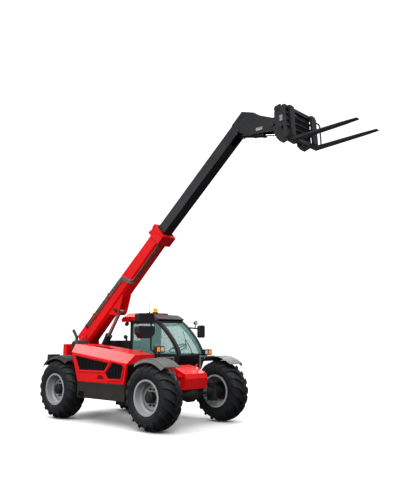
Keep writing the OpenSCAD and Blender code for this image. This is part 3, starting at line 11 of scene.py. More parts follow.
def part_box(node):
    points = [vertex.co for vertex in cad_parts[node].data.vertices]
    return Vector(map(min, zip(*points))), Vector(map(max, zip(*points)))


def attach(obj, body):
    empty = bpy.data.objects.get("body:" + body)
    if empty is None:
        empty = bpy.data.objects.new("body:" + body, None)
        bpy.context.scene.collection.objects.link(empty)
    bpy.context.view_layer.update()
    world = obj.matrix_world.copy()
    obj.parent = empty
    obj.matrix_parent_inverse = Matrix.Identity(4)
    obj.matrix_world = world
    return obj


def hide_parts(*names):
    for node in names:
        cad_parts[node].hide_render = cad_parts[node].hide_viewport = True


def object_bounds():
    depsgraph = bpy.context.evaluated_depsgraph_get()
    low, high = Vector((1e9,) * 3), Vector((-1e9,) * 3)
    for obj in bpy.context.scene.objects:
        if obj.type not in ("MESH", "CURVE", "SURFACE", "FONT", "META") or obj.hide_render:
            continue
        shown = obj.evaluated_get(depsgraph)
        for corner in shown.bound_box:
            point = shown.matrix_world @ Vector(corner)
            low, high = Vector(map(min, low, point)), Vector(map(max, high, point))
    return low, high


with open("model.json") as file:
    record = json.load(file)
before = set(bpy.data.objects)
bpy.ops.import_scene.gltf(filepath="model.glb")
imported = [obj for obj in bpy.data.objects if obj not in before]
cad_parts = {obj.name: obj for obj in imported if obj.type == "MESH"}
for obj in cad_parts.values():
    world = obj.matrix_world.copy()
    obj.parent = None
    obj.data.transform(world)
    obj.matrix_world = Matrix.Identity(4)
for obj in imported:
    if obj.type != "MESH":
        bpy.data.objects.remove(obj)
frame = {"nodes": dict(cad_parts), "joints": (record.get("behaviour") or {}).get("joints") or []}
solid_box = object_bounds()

MM = 0.001
nodes = frame["nodes"]
scene = bpy.context.scene


# Places, taken from the frame
def middle(node):
    low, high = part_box(node)
    return (low + high) / 2


CORNERS = ("fl", "fr", "rl", "rr")
WHEEL = {corner: middle("rim_" + corner) for corner in CORNERS}
MID_X = (WHEEL["fl"].x + WHEEL["rl"].x) / 2
HALF_BASE = (WHEEL["fl"].x - WHEEL["rl"].x) / 2 / MM
JOINT = {joint["name"]: joint for joint in frame["joints"]}
PIVOT = Vector(JOINT["lift"]["pos_m"])
HEAD_PIN = Vector(JOINT["fork_tilt"]["pos_m"])
BOOM_WAY = Vector(JOINT["extend"]["axis"])
BOOM_UP = Vector((-BOOM_WAY.z, 0, BOOM_WAY.x))
FORK_TILT = math.radians(3.95)
FORK_WAY = Vector((math.cos(FORK_TILT), 0, math.sin(FORK_TILT)))
FORK_UP = Vector((-FORK_WAY.z, 0, FORK_WAY.x))
FORWARD = Vector((1, 0, 0))
ACROSS = Vector((0, 1, 0))
RIGHT_SIDE = Vector((0, -1, 0))
UP = Vector((0, 0, 1))
# Right and left
SIDES = (-1, 1)


def at(x, y, z):
    """A place in millimetres from the ground under mid-wheelbase."""
    return Vector((MID_X + x * MM, y * MM, z * MM))


def on_boom(s, y, t):
    """A place in millimetres along the boom from its pivot, to the left, and across it."""
    return PIVOT + (s * BOOM_WAY + y * ACROSS + t * BOOM_UP) * MM


def on_head(x, y, z):
    """A place in millimetres along the forks from the head pin, to the left, and above it."""
    return HEAD_PIN + (x * FORK_WAY + y * ACROSS + z * FORK_UP) * MM


def spread(first, last, count):
    """So many values, evenly spaced from the first to the last."""
    return [first + k * (last - first) / (count - 1) for k in range(count)]


# Camera, floor and light
CAMERA_PLACE = at(9639.7, -8742.5, 1715.7)
CAMERA_YAW = 0.7244
CAMERA_PITCH = math.radians(8.594)
CAMERA_LENS = 44.53
CAMERA_SENSOR = 36
CAMERA_SHIFT = 0.0157
CAMERA_REACH = 200
# Brightness of the surroundings: as light from below and from above, and as the backdrop that the camera sees
AMBIENT_BELOW = 0.10
AMBIENT_ABOVE = 0.55
AMBIENT_BLEND = (-0.4, 0.5)
BACKDROP = 1.0
SUN_STRENGTH = 1.9
SUN_SPREAD = math.radians(70)
SUN_WAY = (-0.25, 0.35, -1)
# Name, then place, target and size in metres, and power in watts
SOFTBOXES = (
    ("front_key", (9, -9, 8), (-1, 0, 2), (5, 4), 520),
    ("right_fill", (-5, -10, 5), (-2, 0, 1.5), (5, 3), 260),
    ("left_fill", (-4, 11, 6), (-2, 0, 2), (6, 4), 420),
    ("back_sky", (-11, 1, 9), (-2, -0.5, 1.5), (7, 7), 450),
)
FLOOR_REACH = 60
RANGE_SOCKETS = ("From Min", "From Max", "To Min", "To Max")


def make_camera():
    data = bpy.data.cameras.new("camera")
    data.sensor_width = CAMERA_SENSOR
    data.lens = CAMERA_LENS
    data.shift_y = CAMERA_SHIFT
    data.clip_end = CAMERA_REACH
    camera = bpy.data.objects.new("camera", data)
    turn = Matrix.Rotation(CAMERA_YAW, 4, "Z") @ Matrix.Rotation(math.pi / 2 + CAMERA_PITCH, 4, "X")
    camera.matrix_world = Matrix.Translation(CAMERA_PLACE) @ turn
    scene.collection.objects.link(camera)
    scene.camera = camera


def aimed(way):
    """The turn that points a lamp along a vector."""
    return Vector(way).to_track_quat("-Z", "Y").to_euler()


def make_sun():
    data = bpy.data.lights.new("soft_sky", "SUN")
    data.energy = SUN_STRENGTH
    data.angle = SUN_SPREAD
    light = bpy.data.objects.new("soft_sky", data)
    light.rotation_euler = aimed(SUN_WAY)
    scene.collection.objects.link(light)


def make_softbox(name, place, target, size, power):
    data = bpy.data.lights.new(name, "AREA")
    data.shape = "RECTANGLE"
    data.size, data.size_y = size
    data.energy = power
    light = bpy.data.objects.new(name, data)
    light.location = place
    light.rotation_euler = aimed(Vector(target) - Vector(place))
    light.visible_camera = False
    scene.collection.objects.link(light)


def make_surroundings():
    """A plain backdrop for the camera; as light, dim from below and brighter from above."""
    world = bpy.data.worlds.new("studio")
    scene.world = world
    world.use_nodes = True
    tree = world.node_tree
    background = tree.nodes["Background"]
    background.inputs["Color"].default_value = (1, 1, 1, 1)
    height = tree.nodes.new("ShaderNodeSeparateXYZ")
    tree.links.new(tree.nodes.new("ShaderNodeTexCoord").outputs["Generated"], height.inputs[0])
    ambient = tree.nodes.new("ShaderNodeMapRange")
    for key, value in zip(RANGE_SOCKETS, (*AMBIENT_BLEND, AMBIENT_BELOW, AMBIENT_ABOVE)):
        ambient.inputs[key].default_value = value
    tree.links.new(height.outputs["Z"], ambient.inputs["Value"])
    seen = tree.nodes.new("ShaderNodeMapRange")
    seen.inputs["To Max"].default_value = BACKDROP
    tree.links.new(ambient.outputs["Result"], seen.inputs["To Min"])
    tree.links.new(tree.nodes.new("ShaderNodeLightPath").outputs["Is Camera Ray"], seen.inputs["Value"])
    tree.links.new(seen.outputs["Result"], background.inputs["Strength"])
    scene.view_settings.view_transform = "Standard"
    scene.view_settings.look = "Medium High Contrast"


def make_floor():
    """A white floor that takes the shadow and throws no light back."""
    bm = bmesh.new()
    bmesh.ops.create_grid(bm, x_segments=1, y_segments=1, size=FLOOR_REACH)
    mesh = bpy.data.meshes.new("floor")
    bm.to_mesh(mesh)
    bm.free()
    mesh.materials.append(FLOOR)
    floor = bpy.data.objects.new("floor", mesh)
    scene.collection.objects.link(floor)
    floor.visible_diffuse = floor.visible_glossy = False


def make_studio():
    make_surroundings()
    make_sun()
    for lamp in SOFTBOXES:
        make_softbox(*lamp)
    make_floor()


# Finishes
DUST = (0.16, 0.145, 0.125)
FITTING_BLACK = (0.015, 0.015, 0.016)
# Half the soft edge of a painted band, and a place past either end of the machine, in metres
BAND_SOFT = 0.001
FAR = 9.0
# How far a rounded normal leans from the face's own: its cosine on a flat face and on an edge with wear and
# painted highlight
FLAT_LEAN, EDGE_LEAN = 0.995, 0.86


class Shader:
    """A material with one principled shader, and short ways to add what feeds it."""

    def __init__(self, name):
        self.material = bpy.data.materials.new(name)
        self.material.use_nodes = True
        self.tree = self.material.node_tree
        self.shader = self.tree.nodes["Principled BSDF"]
        self.place = self.add("ShaderNodeTexCoord").outputs["Object"]

    def add(self, kind, **values):
        node = self.tree.nodes.new(kind)
        for key, value in values.items():
            setattr(node, key, value)
        return node

    def link(self, source, target):
        self.tree.links.new(source, target)

    def feed(self, source, socket):
        self.link(source, self.shader.inputs[socket])

    def set(self, **values):
        for key, value in values.items():
            self.shader.inputs[key.replace("_", " ")].default_value = value

    def noise(self, scale, detail=3.0):
        node = self.add("ShaderNodeTexNoise")
        node.inputs["Scale"].default_value = scale
        node.inputs["Detail"].default_value = detail
        self.link(self.place, node.inputs["Vector"])
        return node.outputs["Fac"]

    def ranged(self, source, low, high, new_low, new_high):
        node = self.add("ShaderNodeMapRange")
        for key, value in zip(RANGE_SOCKETS, (low, high, new_low, new_high)):
            node.inputs[key].default_value = value
        self.link(source, node.inputs["Value"])
        return node.outputs["Result"]

    def times(self, first, second):
        node = self.add("ShaderNodeMath", operation="MULTIPLY")
        self.link(first, node.inputs[0])
        self.link(second, node.inputs[1])
        return node.outputs["Value"]

    def mix(self, share, first, second):
        node = self.add("ShaderNodeMix", data_type="RGBA")
        self.link(share, node.inputs[0])
        for socket, value in ((node.inputs[6], first), (node.inputs[7], second)):
            if isinstance(value, tuple):
                socket.default_value = (*value, 1)
            else:
                self.link(value, socket)
        return node.outputs[2]

    def part(self, axis, place=None):
        node = self.add("ShaderNodeSeparateXYZ")
        self.link(place or self.place, node.inputs[0])
        return node.outputs[axis]

    def band(self, tone, along, low, high, colour):
        """The tone, with a colour of its own between two places along a coordinate."""
        rise = self.ranged(along, low - BAND_SOFT, low + BAND_SOFT, 0, 1)
        fall = self.ranged(along, high - BAND_SOFT, high + BAND_SOFT, 1, 0)
        return self.mix(self.times(rise, fall), tone, colour)

    def rounded(self, radius):
        node = self.add("ShaderNodeBevel", samples=4)
        node.inputs["Radius"].default_value = radius
        return node.outputs["Normal"]

    def edges(self, normal):
        """1 on a rounded edge, 0 on a flat face."""
        dot = self.add("ShaderNodeVectorMath", operation="DOT_PRODUCT")
        self.link(normal, dot.inputs[0])
        self.link(self.add("ShaderNodeNewGeometry").outputs["Normal"], dot.inputs[1])
        return self.ranged(dot.outputs["Value"], FLAT_LEAN, EDGE_LEAN, 0, 1)

    def bump(self, height, strength, depth, normal=None):
        node = self.add("ShaderNodeBump")
        node.inputs["Strength"].default_value = strength
        node.inputs["Distance"].default_value = depth
        self.link(height, node.inputs["Height"])
        if normal:
            self.link(normal, node.inputs["Normal"])
        self.feed(node.outputs["Normal"], "Normal")


def coated(name, dark, light, rough, edge_wear_and_highlight, *, patch=2.2, grain=260.0, relief=0.12, round_mm=5.0,
           dust=0.0, dust_top=1.2, shine=0.5, bands=()):
    """Paint, plastic or rubber: two tones in soft patches, edges lighter as wear and painted highlight, dust
    towards the ground.

    Each of the bands is (axis, low, high, colour): a stretch along that axis that has a colour of its own.
    """
    s = Shader(name)
    tone = s.mix(s.ranged(s.noise(patch, 4), 0.35, 0.65, 0, 1), dark, light)
    for axis, low, high, colour in bands:
        tone = s.band(tone, s.part(axis), low, high, colour)
    normal = s.rounded(round_mm * MM)
    # Edges take the lighter colour: partly wear, partly painted highlight
    tone = s.mix(s.times(s.edges(normal), s.ranged(s.noise(26), 0.42, 0.62, 0, 0.6)), tone, edge_wear_and_highlight)
    if dust:
        height = s.ranged(s.part("Z"), 0.0, dust_top, dust, 0)
        tone = s.mix(s.times(height, s.ranged(s.noise(9, 5), 0.35, 0.7, 0, 1)), tone, DUST)
    s.feed(tone, "Base Color")
    s.feed(s.ranged(s.noise(14, 4), 0.3, 0.7, *rough), "Roughness")
    s.bump(s.noise(grain, 2), relief, 0.0006, normal)
    s.set(Specular_IOR_Level=shine)
    return s


def red_paint(name, bands=()):
    s = coated(name, (0.72, 0.006, 0.009), (0.82, 0.008, 0.012), (0.30, 0.42), (0.88, 0.06, 0.06),
               relief=0.03, dust=0.06, bands=bands)
    s.set(Coat_Weight=0.3, Coat_Roughness=0.15, Specular_IOR_Level=0.2)
    return s.material


ROOF_SPLIT = MID_X - 0.2299
VISOR_GREY = (0.055, 0.065, 0.065)
EAR_FOOT = 1.36
EAR_RED = (0.62, 0.009, 0.014)
TAIL_LENS_END = solid_box[0].x + 0.009
TAIL_RED = (0.45, 0.01, 0.012)

RED_PAINT = red_paint("red_paint")
# A darker copy of the red paint: painted shade
SHADED_RED = coated("shaded_red", (0.20, 0.003, 0.004), (0.27, 0.004, 0.006), (0.45, 0.60),
                    (0.40, 0.03, 0.03), relief=0.03, shine=0.2).material
ROOF_PAINT = red_paint("roof_paint", bands=[("X", ROOF_SPLIT, FAR, VISOR_GREY)])
BOOM_BLACK = coated("boom_black", (0.013, 0.0135, 0.016), (0.021, 0.022, 0.026), (0.34, 0.50),
                    (0.12, 0.12, 0.13), relief=0.06).material
CHASSIS_BLACK = coated("chassis_black", (0.016, 0.016, 0.017), (0.030, 0.030, 0.031), (0.45, 0.65),
                       (0.10, 0.10, 0.10), dust=0.25).material
FRAME_PAINT = coated("frame_paint", (0.016, 0.016, 0.017), (0.030, 0.030, 0.031), (0.35, 0.50),
                     (0.10, 0.10, 0.10), dust=0.25, bands=[("Z", EAR_FOOT, FAR, EAR_RED)]).material
CAB_BLACK = coated("cab_black", (0.011, 0.011, 0.012), (0.019, 0.019, 0.021), (0.32, 0.48),
                   (0.10, 0.10, 0.10), round_mm=8).material
CAST_BLACK = coated("cast_black", (0.009, 0.009, 0.010), (0.020, 0.020, 0.021), (0.50, 0.75),
                    (0.09, 0.09, 0.09), grain=120, relief=0.5, dust=0.12).material
RIM_SILVER = coated("rim_silver", (0.33, 0.338, 0.344), (0.42, 0.43, 0.436), (0.28, 0.42),
                    (0.58, 0.58, 0.58), dust=0.12, dust_top=1.0).material
RUBBER = coated("tyre_rubber", (0.011, 0.0120, 0.0145), (0.020, 0.0218, 0.0262), (0.50, 0.75),
                (0.035, 0.035, 0.037), patch=6, grain=420, relief=0.35, round_mm=7, dust=0.10,
                dust_top=0.3, shine=0.4).material
SKIRT_GREY = coated("skirt_grey", (0.027, 0.0253, 0.022), (0.037, 0.0348, 0.030), (0.50, 0.66),
                    (0.11, 0.105, 0.095), grain=520, relief=0.25, dust=0.12, shine=0.35).material
FENDER_GREY = coated("fender_grey", (0.105, 0.105, 0.105), (0.145, 0.145, 0.145), (0.42, 0.58),
                     (0.24, 0.24, 0.24), grain=600, relief=0.3, shine=0.4).material
BLACK_PLASTIC = coated("black_plastic", (0.009, 0.009, 0.010), (0.018, 0.018, 0.019), (0.42, 0.62),
                       (0.08, 0.08, 0.08), grain=600, relief=0.35).material
ROUGH_BLACK = coated("rough_black", (0.008, 0.008, 0.009), (0.016, 0.016, 0.017), (0.75, 0.92),
                     (0.05, 0.05, 0.05), grain=600, relief=0.35, shine=0.15).material
GREY_TRIM = coated("cab_trim_grey", (0.045, 0.045, 0.047), (0.065, 0.065, 0.068), (0.55, 0.75),
                   (0.12, 0.12, 0.12), grain=700, relief=0.45).material
LAMP_PLASTIC = coated("lamp_plastic", (0.012, 0.012, 0.013), (0.024, 0.024, 0.025), (0.30, 0.45),
                      (0.08, 0.08, 0.08), grain=600, relief=0.2,
                      bands=[("X", -FAR, TAIL_LENS_END, TAIL_RED)]).material
FLOOR = coated("studio_floor", (0.88, 0.88, 0.88), (0.89, 0.89, 0.89), (0.8, 0.9), (0.9, 0.9, 0.9),
               patch=0.2).material


def bare_steel(name, dark, light, rough, metallic=1.0, grain=90.0):
    s = Shader(name)
    s.feed(s.mix(s.ranged(s.noise(18, 5), 0.3, 0.7, 0, 1), dark, light), "Base Color")
    s.feed(s.ranged(s.noise(grain, 3), 0.3, 0.7, *rough), "Roughness")
    s.set(Metallic=metallic)
    s.bump(s.noise(grain * 4, 2), 0.08, 0.0004)
    return s.material


ROD_CHROME = bare_steel("rod_chrome", (0.62, 0.63, 0.65), (0.75, 0.76, 0.78), (0.08, 0.18))
ZINC_STEEL = bare_steel("zinc_steel", (0.42, 0.41, 0.38), (0.58, 0.57, 0.53), (0.32, 0.48))
MIRROR_GLASS = bare_steel("mirror_glass", (0.78, 0.80, 0.82), (0.84, 0.86, 0.88), (0.02, 0.05))
BLANK_PLATE = bare_steel("blank_plate", (0.30, 0.30, 0.31), (0.42, 0.42, 0.43), (0.35, 0.5), metallic=0.7)


def clear(name, dark, light, transmission, rough=(0.02, 0.06), glow=0.0, alpha=1.0):
    s = Shader(name)
    tone = s.mix(s.ranged(s.noise(3, 3), 0.35, 0.65, 0, 1), dark, light)
    s.feed(tone, "Base Color")
    s.feed(s.ranged(s.noise(11, 5), 0.35, 0.7, *rough), "Roughness")
    s.set(Transmission_Weight=transmission, IOR=1.45, Alpha=alpha)
    if glow:
        s.feed(tone, "Emission Color")
        s.set(Emission_Strength=glow)
    return s.material


TINTED_GLASS = clear("tinted_glass", (0.24, 0.48, 0.44), (0.30, 0.54, 0.50), 0.0, alpha=0.32)
CLEAR_LENS = clear("clear_lens", (0.88, 0.90, 0.92), (0.96, 0.97, 0.98), 0.35)
AMBER_LENS = clear("amber_lens", (0.95, 0.30, 0.010), (1.0, 0.42, 0.02), 0.25, (0.10, 0.2), 0.25)
RED_LENS = clear("red_lens", (0.45, 0.006, 0.008), (0.62, 0.012, 0.014), 0.25, (0.10, 0.2), 0.05)

ROOF_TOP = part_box("cab_roof")[1].z
BEACON_FOOT_TOP = ROOF_TOP + 0.024
AERIAL_X = MID_X - 0.42


def beacon_amber():
    """Amber over a black foot, and the black whip aerial behind it."""
    bands = [("Z", ROOF_TOP - 0.1, BEACON_FOOT_TOP, FITTING_BLACK), ("X", -FAR, AERIAL_X, FITTING_BLACK)]
    s = coated("beacon_amber", (1.0, 0.66, 0.008), (1.0, 0.78, 0.04), (0.12, 0.22), (1.0, 0.6, 0.1),
               relief=0.03, bands=bands)
    return s.material


WEAVE_TURN = 0.78
WEAVE_SCALE = 32
THREAD_SCALE = 160
THREAD_WAVER = 1.2


def wire_screen():
    """Fine woven mesh behind the pod's openings."""
    s = Shader("wire_screen")
    lines = []
    for turn in (WEAVE_TURN, -WEAVE_TURN):
        mapping = s.add("ShaderNodeMapping")
        mapping.inputs["Rotation"].default_value = (0, turn, 0)
        s.link(s.place, mapping.inputs["Vector"])
        wave = s.add("ShaderNodeTexWave", bands_direction="X")
        wave.inputs["Scale"].default_value = WEAVE_SCALE
        s.link(mapping.outputs["Vector"], wave.inputs["Vector"])
        lines.append(s.ranged(wave.outputs["Fac"], 0.55, 0.8, 0, 1))
    weave = s.times(*lines)
    s.feed(s.mix(weave, (0.022, 0.022, 0.023), (0.004, 0.004, 0.004)), "Base Color")
    s.feed(s.ranged(weave, 0, 1, 0.4, 0.8), "Roughness")
    s.bump(weave, 0.4, -0.002)
    return s.material


def seat_cloth():
    """Dark woven cloth."""
    s = Shader("seat_cloth")
    waves = []
    for axis in ("X", "Y"):
        wave = s.add("ShaderNodeTexWave", bands_direction=axis)
        wave.inputs["Scale"].default_value = THREAD_SCALE
        wave.inputs["Distortion"].default_value = THREAD_WAVER
        s.link(s.place, wave.inputs["Vector"])
        waves.append(wave.outputs["Fac"])
    threads = s.times(*waves)
    tone = s.mix(s.ranged(s.noise(5, 4), 0.35, 0.65, 0, 1), (0.030, 0.031, 0.034), (0.055, 0.056, 0.060))
    s.feed(s.mix(threads, tone, (0.10, 0.10, 0.105)), "Base Color")
    s.feed(s.ranged(threads, 0, 1, 0.75, 0.95), "Roughness")
    s.set(Sheen_Weight=0.3, Sheen_Roughness=0.5)
    s.bump(threads, 0.4, 0.0008)
    return s.material


CLAMP_RED = (0.65, 0.010, 0.016)
# Start and end along the boom in metres, and colour: two clamps and the block that the pipes start from
PIPE_BANDS = ((0.610, 0.654, CLAMP_RED), (1.280, 1.324, CLAMP_RED), (0.0, 0.2995, FITTING_BLACK))


def boom_pipe():
    """Bronze pipes in red clamps, which start from a black block."""
    s = Shader("boom_pipe")
    mapping = s.add("ShaderNodeMapping", vector_type="TEXTURE")
    mapping.inputs["Location"].default_value = PIVOT
    mapping.inputs["Rotation"].default_value = (0, -math.atan2(BOOM_WAY.z, BOOM_WAY.x), 0)
    s.link(s.place, mapping.inputs["Vector"])
    along = s.part("X", mapping.outputs["Vector"])
    tone = s.mix(s.ranged(s.noise(7, 3), 0.3, 0.7, 0, 1), (0.19, 0.145, 0.125), (0.29, 0.225, 0.20))
    for low, high, colour in PIPE_BANDS:
        tone = s.band(tone, along, low, high, colour)
    s.feed(tone, "Base Color")
    s.feed(s.ranged(s.noise(60, 3), 0.3, 0.7, 0.32, 0.5), "Roughness")
    s.set(Metallic=0.35)
    s.bump(s.noise(200, 2), 0.1, 0.0005)
    return s.material


BEACON_AMBER = beacon_amber()
WIRE_SCREEN = wire_screen()
SEAT_CLOTH = seat_cloth()
BOOM_PIPE = boom_pipe()

# Shapes, added to a mesh that may hold several
BEND_BALL = 1.02
WASHER_WIDTH, WASHER_HEIGHT = 1.35, 0.25
BOLT_ROUND = 0.08
SHARP_EDGE = math.radians(35)


def round_edges(bm, edges, width, segments=2):
    bmesh.ops.bevel(bm, geom=edges, offset=width, segments=segments, profile=0.5, affect="EDGES", material=-1)


def edges_of(verts):
    return list({edge for vert in verts for edge in vert.link_edges})


def block(bm, low, high, round_mm=3.0, turn=None):
    """A box between two corners with rounded edges, turned about its middle if asked."""
    low, high = Vector(low), Vector(high)
    size = Vector(map(abs, high - low))
    matrix = Matrix.Translation((low + high) / 2) @ (turn or Matrix()) @ Matrix.Diagonal((*size, 1))
    verts = bmesh.ops.create_cube(bm, size=1, matrix=matrix)["verts"]
    round_edges(bm, edges_of(verts), round_mm * MM)


def rod(bm, start, end, radius_mm, sides=16, top_mm=None, round_mm=0.0):
    """A round bar, cone or hexagon between two places."""
    start, end = Vector(start), Vector(end)
    way = end - start
    upright = way.to_track_quat("Z", "Y").to_matrix().to_4x4()
    top = radius_mm if top_mm is None else top_mm
    matrix = Matrix.Translation((start + end) / 2) @ upright
    verts = bmesh.ops.create_cone(bm, cap_ends=True, segments=sides, radius1=radius_mm * MM, radius2=top * MM,
                                  depth=way.length, matrix=matrix)["verts"]
    if round_mm:
        rims = [edge for edge in edges_of(verts) if any(len(face.verts) > 4 for face in edge.link_faces)]
        round_edges(bm, rims, round_mm * MM)


def tube_path(bm, points, radius_mm, sides=10):
    """A bent bar: straight stretches with a ball at each bend."""
    for start, end in zip(points, points[1:]):
        rod(bm, start, end, radius_mm, sides)
    for bend in points[1:-1]:
        bmesh.ops.create_icosphere(bm, subdivisions=2, radius=radius_mm * BEND_BALL * MM,
                                   matrix=Matrix.Translation(bend))


def bolt(bm, place, way, head_mm, height_mm):
    """A hexagon head on a washer."""
    way = Vector(way).normalized()
    rod(bm, place, place + way * WASHER_HEIGHT * height_mm * MM, head_mm * WASHER_WIDTH, 20)
    rod(bm, place, place + way * height_mm * MM, head_mm, 6, round_mm=BOLT_ROUND * head_mm)


def turned(bm, centre, way, profile, steps=64):
    """A shape turned about an axis; the profile is (radius, along) pairs in millimetres."""
    side = Vector(way).orthogonal().normalized()
    verts = [bm.verts.new(centre + (r * side + a * Vector(way)) * MM) for r, a in profile]
    edges = [bm.edges.new(pair) for pair in zip(verts, verts[1:])]
    bmesh.ops.spin(bm, geom=verts + edges, cent=centre, axis=way, angle=math.tau, steps=steps,
                   use_merge=True, use_duplicate=False)


def ring(bm, centre, way, radius_mm, wire_mm, steps=72, sides=8):
    """A ring of round wire."""
    way = Vector(way).normalized()
    side = way.orthogonal().normalized()
    hub = centre + side * radius_mm * MM
    verts = []
    for k in range(sides):
        angle = math.tau * k / sides
        verts.append(bm.verts.new(hub + (math.cos(angle) * side + math.sin(angle) * way) * wire_mm * MM))
    edges = [bm.edges.new((verts[k], verts[(k + 1) % sides])) for k in range(sides)]
    bmesh.ops.spin(bm, geom=verts + edges, cent=centre, axis=way, angle=math.tau, steps=steps,
                   use_merge=True, use_duplicate=False)


def plate(bm, outline, depth):
    """A flat outline, pulled out along a vector."""
    face = bm.faces.new([bm.verts.new(point) for point in outline])
    made = bmesh.ops.extrude_face_region(bm, geom=[face])
    verts = [v for v in made["geom"] if isinstance(v, bmesh.types.BMVert)]
    bmesh.ops.translate(bm, verts=verts, vec=depth)


def piece(name, bm, material, body):
    """A finished mesh as an object that rides a body."""
    bmesh.ops.remove_doubles(bm, verts=bm.verts, dist=1e-6)
    bmesh.ops.recalc_face_normals(bm, faces=bm.faces)
    mesh = bpy.data.meshes.new(name)
    bm.to_mesh(mesh)
    bm.free()
    mesh.materials.append(material)
    mesh.shade_smooth()
    mesh.set_sharp_from_angle(angle=SHARP_EDGE)
    obj = bpy.data.objects.new(name, mesh)
    scene.collection.objects.link(obj)
    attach(obj, body)


# Wheels, in millimetres from the wheel's middle
DISC_FACE = 35
NUT_CIRCLE = 152
NUT_COUNT = 10
NUT_SIZE = (17, 22)
STUD_RADIUS, STUD_LENGTH = 9, 34
HUB_FACE = 150
CAP_CIRCLE = 78
CAP_BOLTS = 8
CAP_BOLT_SIZE = (6, 6)
CAP_SEAM_Y = HUB_FACE - 30
CAP_SEAM_RADIUS, CAP_SEAM_WIRE = 103, 3
VALVE_Y, VALVE_CIRCLE = 20, 243
VALVE_STEM, VALVE_STEM_RADIUS = 38, 5
VALVE_CAP, VALVE_CAP_RADIUS = (36, 56), 7
# Radius, distance from the middle plane, and wire
SIDEWALL_RINGS = ((352, 204.5, 4.0), (400, 222.0, 3.0), (470, 219.5, 5.0))


def spoke_points(centre, side, radius, along, count):
    for k in range(count):
        angle = math.tau * k / count
        yield centre + Vector((radius * math.cos(angle), side * along, radius * math.sin(angle))) * MM


def dress_wheel(corner):
    centre = WHEEL[corner]
    side = math.copysign(1, centre.y)
    out = ACROSS * side
    body = "wheel_" + corner
    bm = bmesh.new()
    for place in spoke_points(centre, side, NUT_CIRCLE, DISC_FACE, NUT_COUNT):
        bolt(bm, place, out, *NUT_SIZE)
        rod(bm, place, place + out * STUD_LENGTH * MM, STUD_RADIUS, 12)
    piece("wheel_nuts_" + corner, bm, CAST_BLACK, body)
    bm = bmesh.new()
    for place in spoke_points(centre, side, CAP_CIRCLE, HUB_FACE, CAP_BOLTS):
        bolt(bm, place, out, *CAP_BOLT_SIZE)
    ring(bm, centre + out * CAP_SEAM_Y * MM, out, CAP_SEAM_RADIUS, CAP_SEAM_WIRE)
    piece("hub_bolts_" + corner, bm, CAST_BLACK, body)
    bm = bmesh.new()
    foot = centre + Vector((0, side * VALVE_Y, VALVE_CIRCLE)) * MM
    rod(bm, foot, foot + out * VALVE_STEM * MM, VALVE_STEM_RADIUS, 12)
    cap_start, cap_end = (foot + out * y * MM for y in VALVE_CAP)
    rod(bm, cap_start, cap_end, VALVE_CAP_RADIUS, 12, round_mm=1.5)
    piece("tyre_valve_" + corner, bm, BLACK_PLASTIC, body)
    bm = bmesh.new()
    for radius, along, wire in SIDEWALL_RINGS:
        for face in SIDES:
            ring(bm, centre + ACROSS * face * along * MM, ACROSS, radius, wire, 96)
    piece("sidewall_rings_" + corner, bm, RUBBER, body)


# Engine pod: outlines are (forward, up) pairs on its right face
POD_FACE = -1100
REAR_OPENING = ((-820, 1331), (-674, 1050), (132, 1058), (262, 1208))
FRONT_OPENING = ((382, 1222), (665, 1178), (700, 1150), (640, 915), (250, 908), (180, 1005))
SCREEN_Y = POD_FACE + 19
SCREEN_THICKNESS = 3
LATCH_RECESS = ((-84, 895), (-38, 963), (78, 960), (125, 895))
# Where the thin plate of darker red sits in the latch recess, and its thickness: painted shade
RECESS_Y = POD_FACE + 12
RECESS_SHADE_THICKNESS = 1.5
LATCH_X, LATCH_Z = (-60, 112), (899, 930)
LATCH_Y = (POD_FACE + 2, POD_FACE + 11)
LATCH_RIVETS = (-45, 97)
RIVET_Z = 914
# The pod's front end: its foot and its top, with the liner's margins there and its inner side
POD_FRONT_FOOT, POD_FRONT_TOP = Vector((732, 820)), Vector((810, 1215))
LINER_FOOT_MARGIN, LINER_TOP_MARGIN = 24, 20
LINER_Y = (POD_FACE + 44, -372)
LINER_GAP, LINER_THICKNESS = 0.8, 3.2
VENT_X = (-620, -60)
VENT_Y = (-800, -640)
SLAT_COUNT = 12
SLAT_INSET = 24
SLAT_END_GAP = 12
SLAT_DROP = 6
SLAT_TURN = math.radians(28)
# The pod's top beside the vent: height at mid-wheelbase, fall towards the front, and crown
POD_TOP = 1472.2
POD_FALL = math.tan(math.radians(6.4))
POD_CROWN = 0.00002


def pod_top(x):
    return POD_TOP - x * POD_FALL - POD_CROWN * x * x


def dress_pod():
    for name, outline in (("screen_rear", REAR_OPENING), ("screen_front", FRONT_OPENING)):
        bm = bmesh.new()
        plate(bm, [at(x, SCREEN_Y, z) for x, z in outline], ACROSS * SCREEN_THICKNESS * MM)
        piece(name, bm, WIRE_SCREEN, "engine_lid")
    dress_latch()
    dress_arch_liner()
    bm = bmesh.new()
    lean = Matrix.Rotation(SLAT_TURN, 4, "Y")
    low_y, high_y = VENT_Y[0] + SLAT_END_GAP, VENT_Y[1] - SLAT_END_GAP
    for x in spread(VENT_X[0] + SLAT_INSET, VENT_X[1] - SLAT_INSET, SLAT_COUNT):
        z = pod_top(x) - SLAT_DROP
        block(bm, at(x - 13, low_y, z - 3), at(x + 13, high_y, z + 3), 1.5, lean)
    piece("vent_slats", bm, ROUGH_BLACK, "engine_lid")


def dress_latch():
    bm = bmesh.new()
    # A thin plate of darker red in the latch recess: painted shade
    plate(bm, [at(x, RECESS_Y, z) for x, z in LATCH_RECESS], RIGHT_SIDE * RECESS_SHADE_THICKNESS * MM)
    piece("latch_recess_shade", bm, SHADED_RED, "engine_lid")
    bm = bmesh.new()
    low, high = (at(*corner) for corner in zip(LATCH_X, LATCH_Y, LATCH_Z))
    block(bm, low, high, 4)
    for x in LATCH_RIVETS:
        rod(bm, at(x, POD_FACE + 3, RIVET_Z), at(x, POD_FACE, RIVET_Z), 6, 16, round_mm=1)
    piece("pod_latch", bm, BLACK_PLASTIC, "engine_lid")


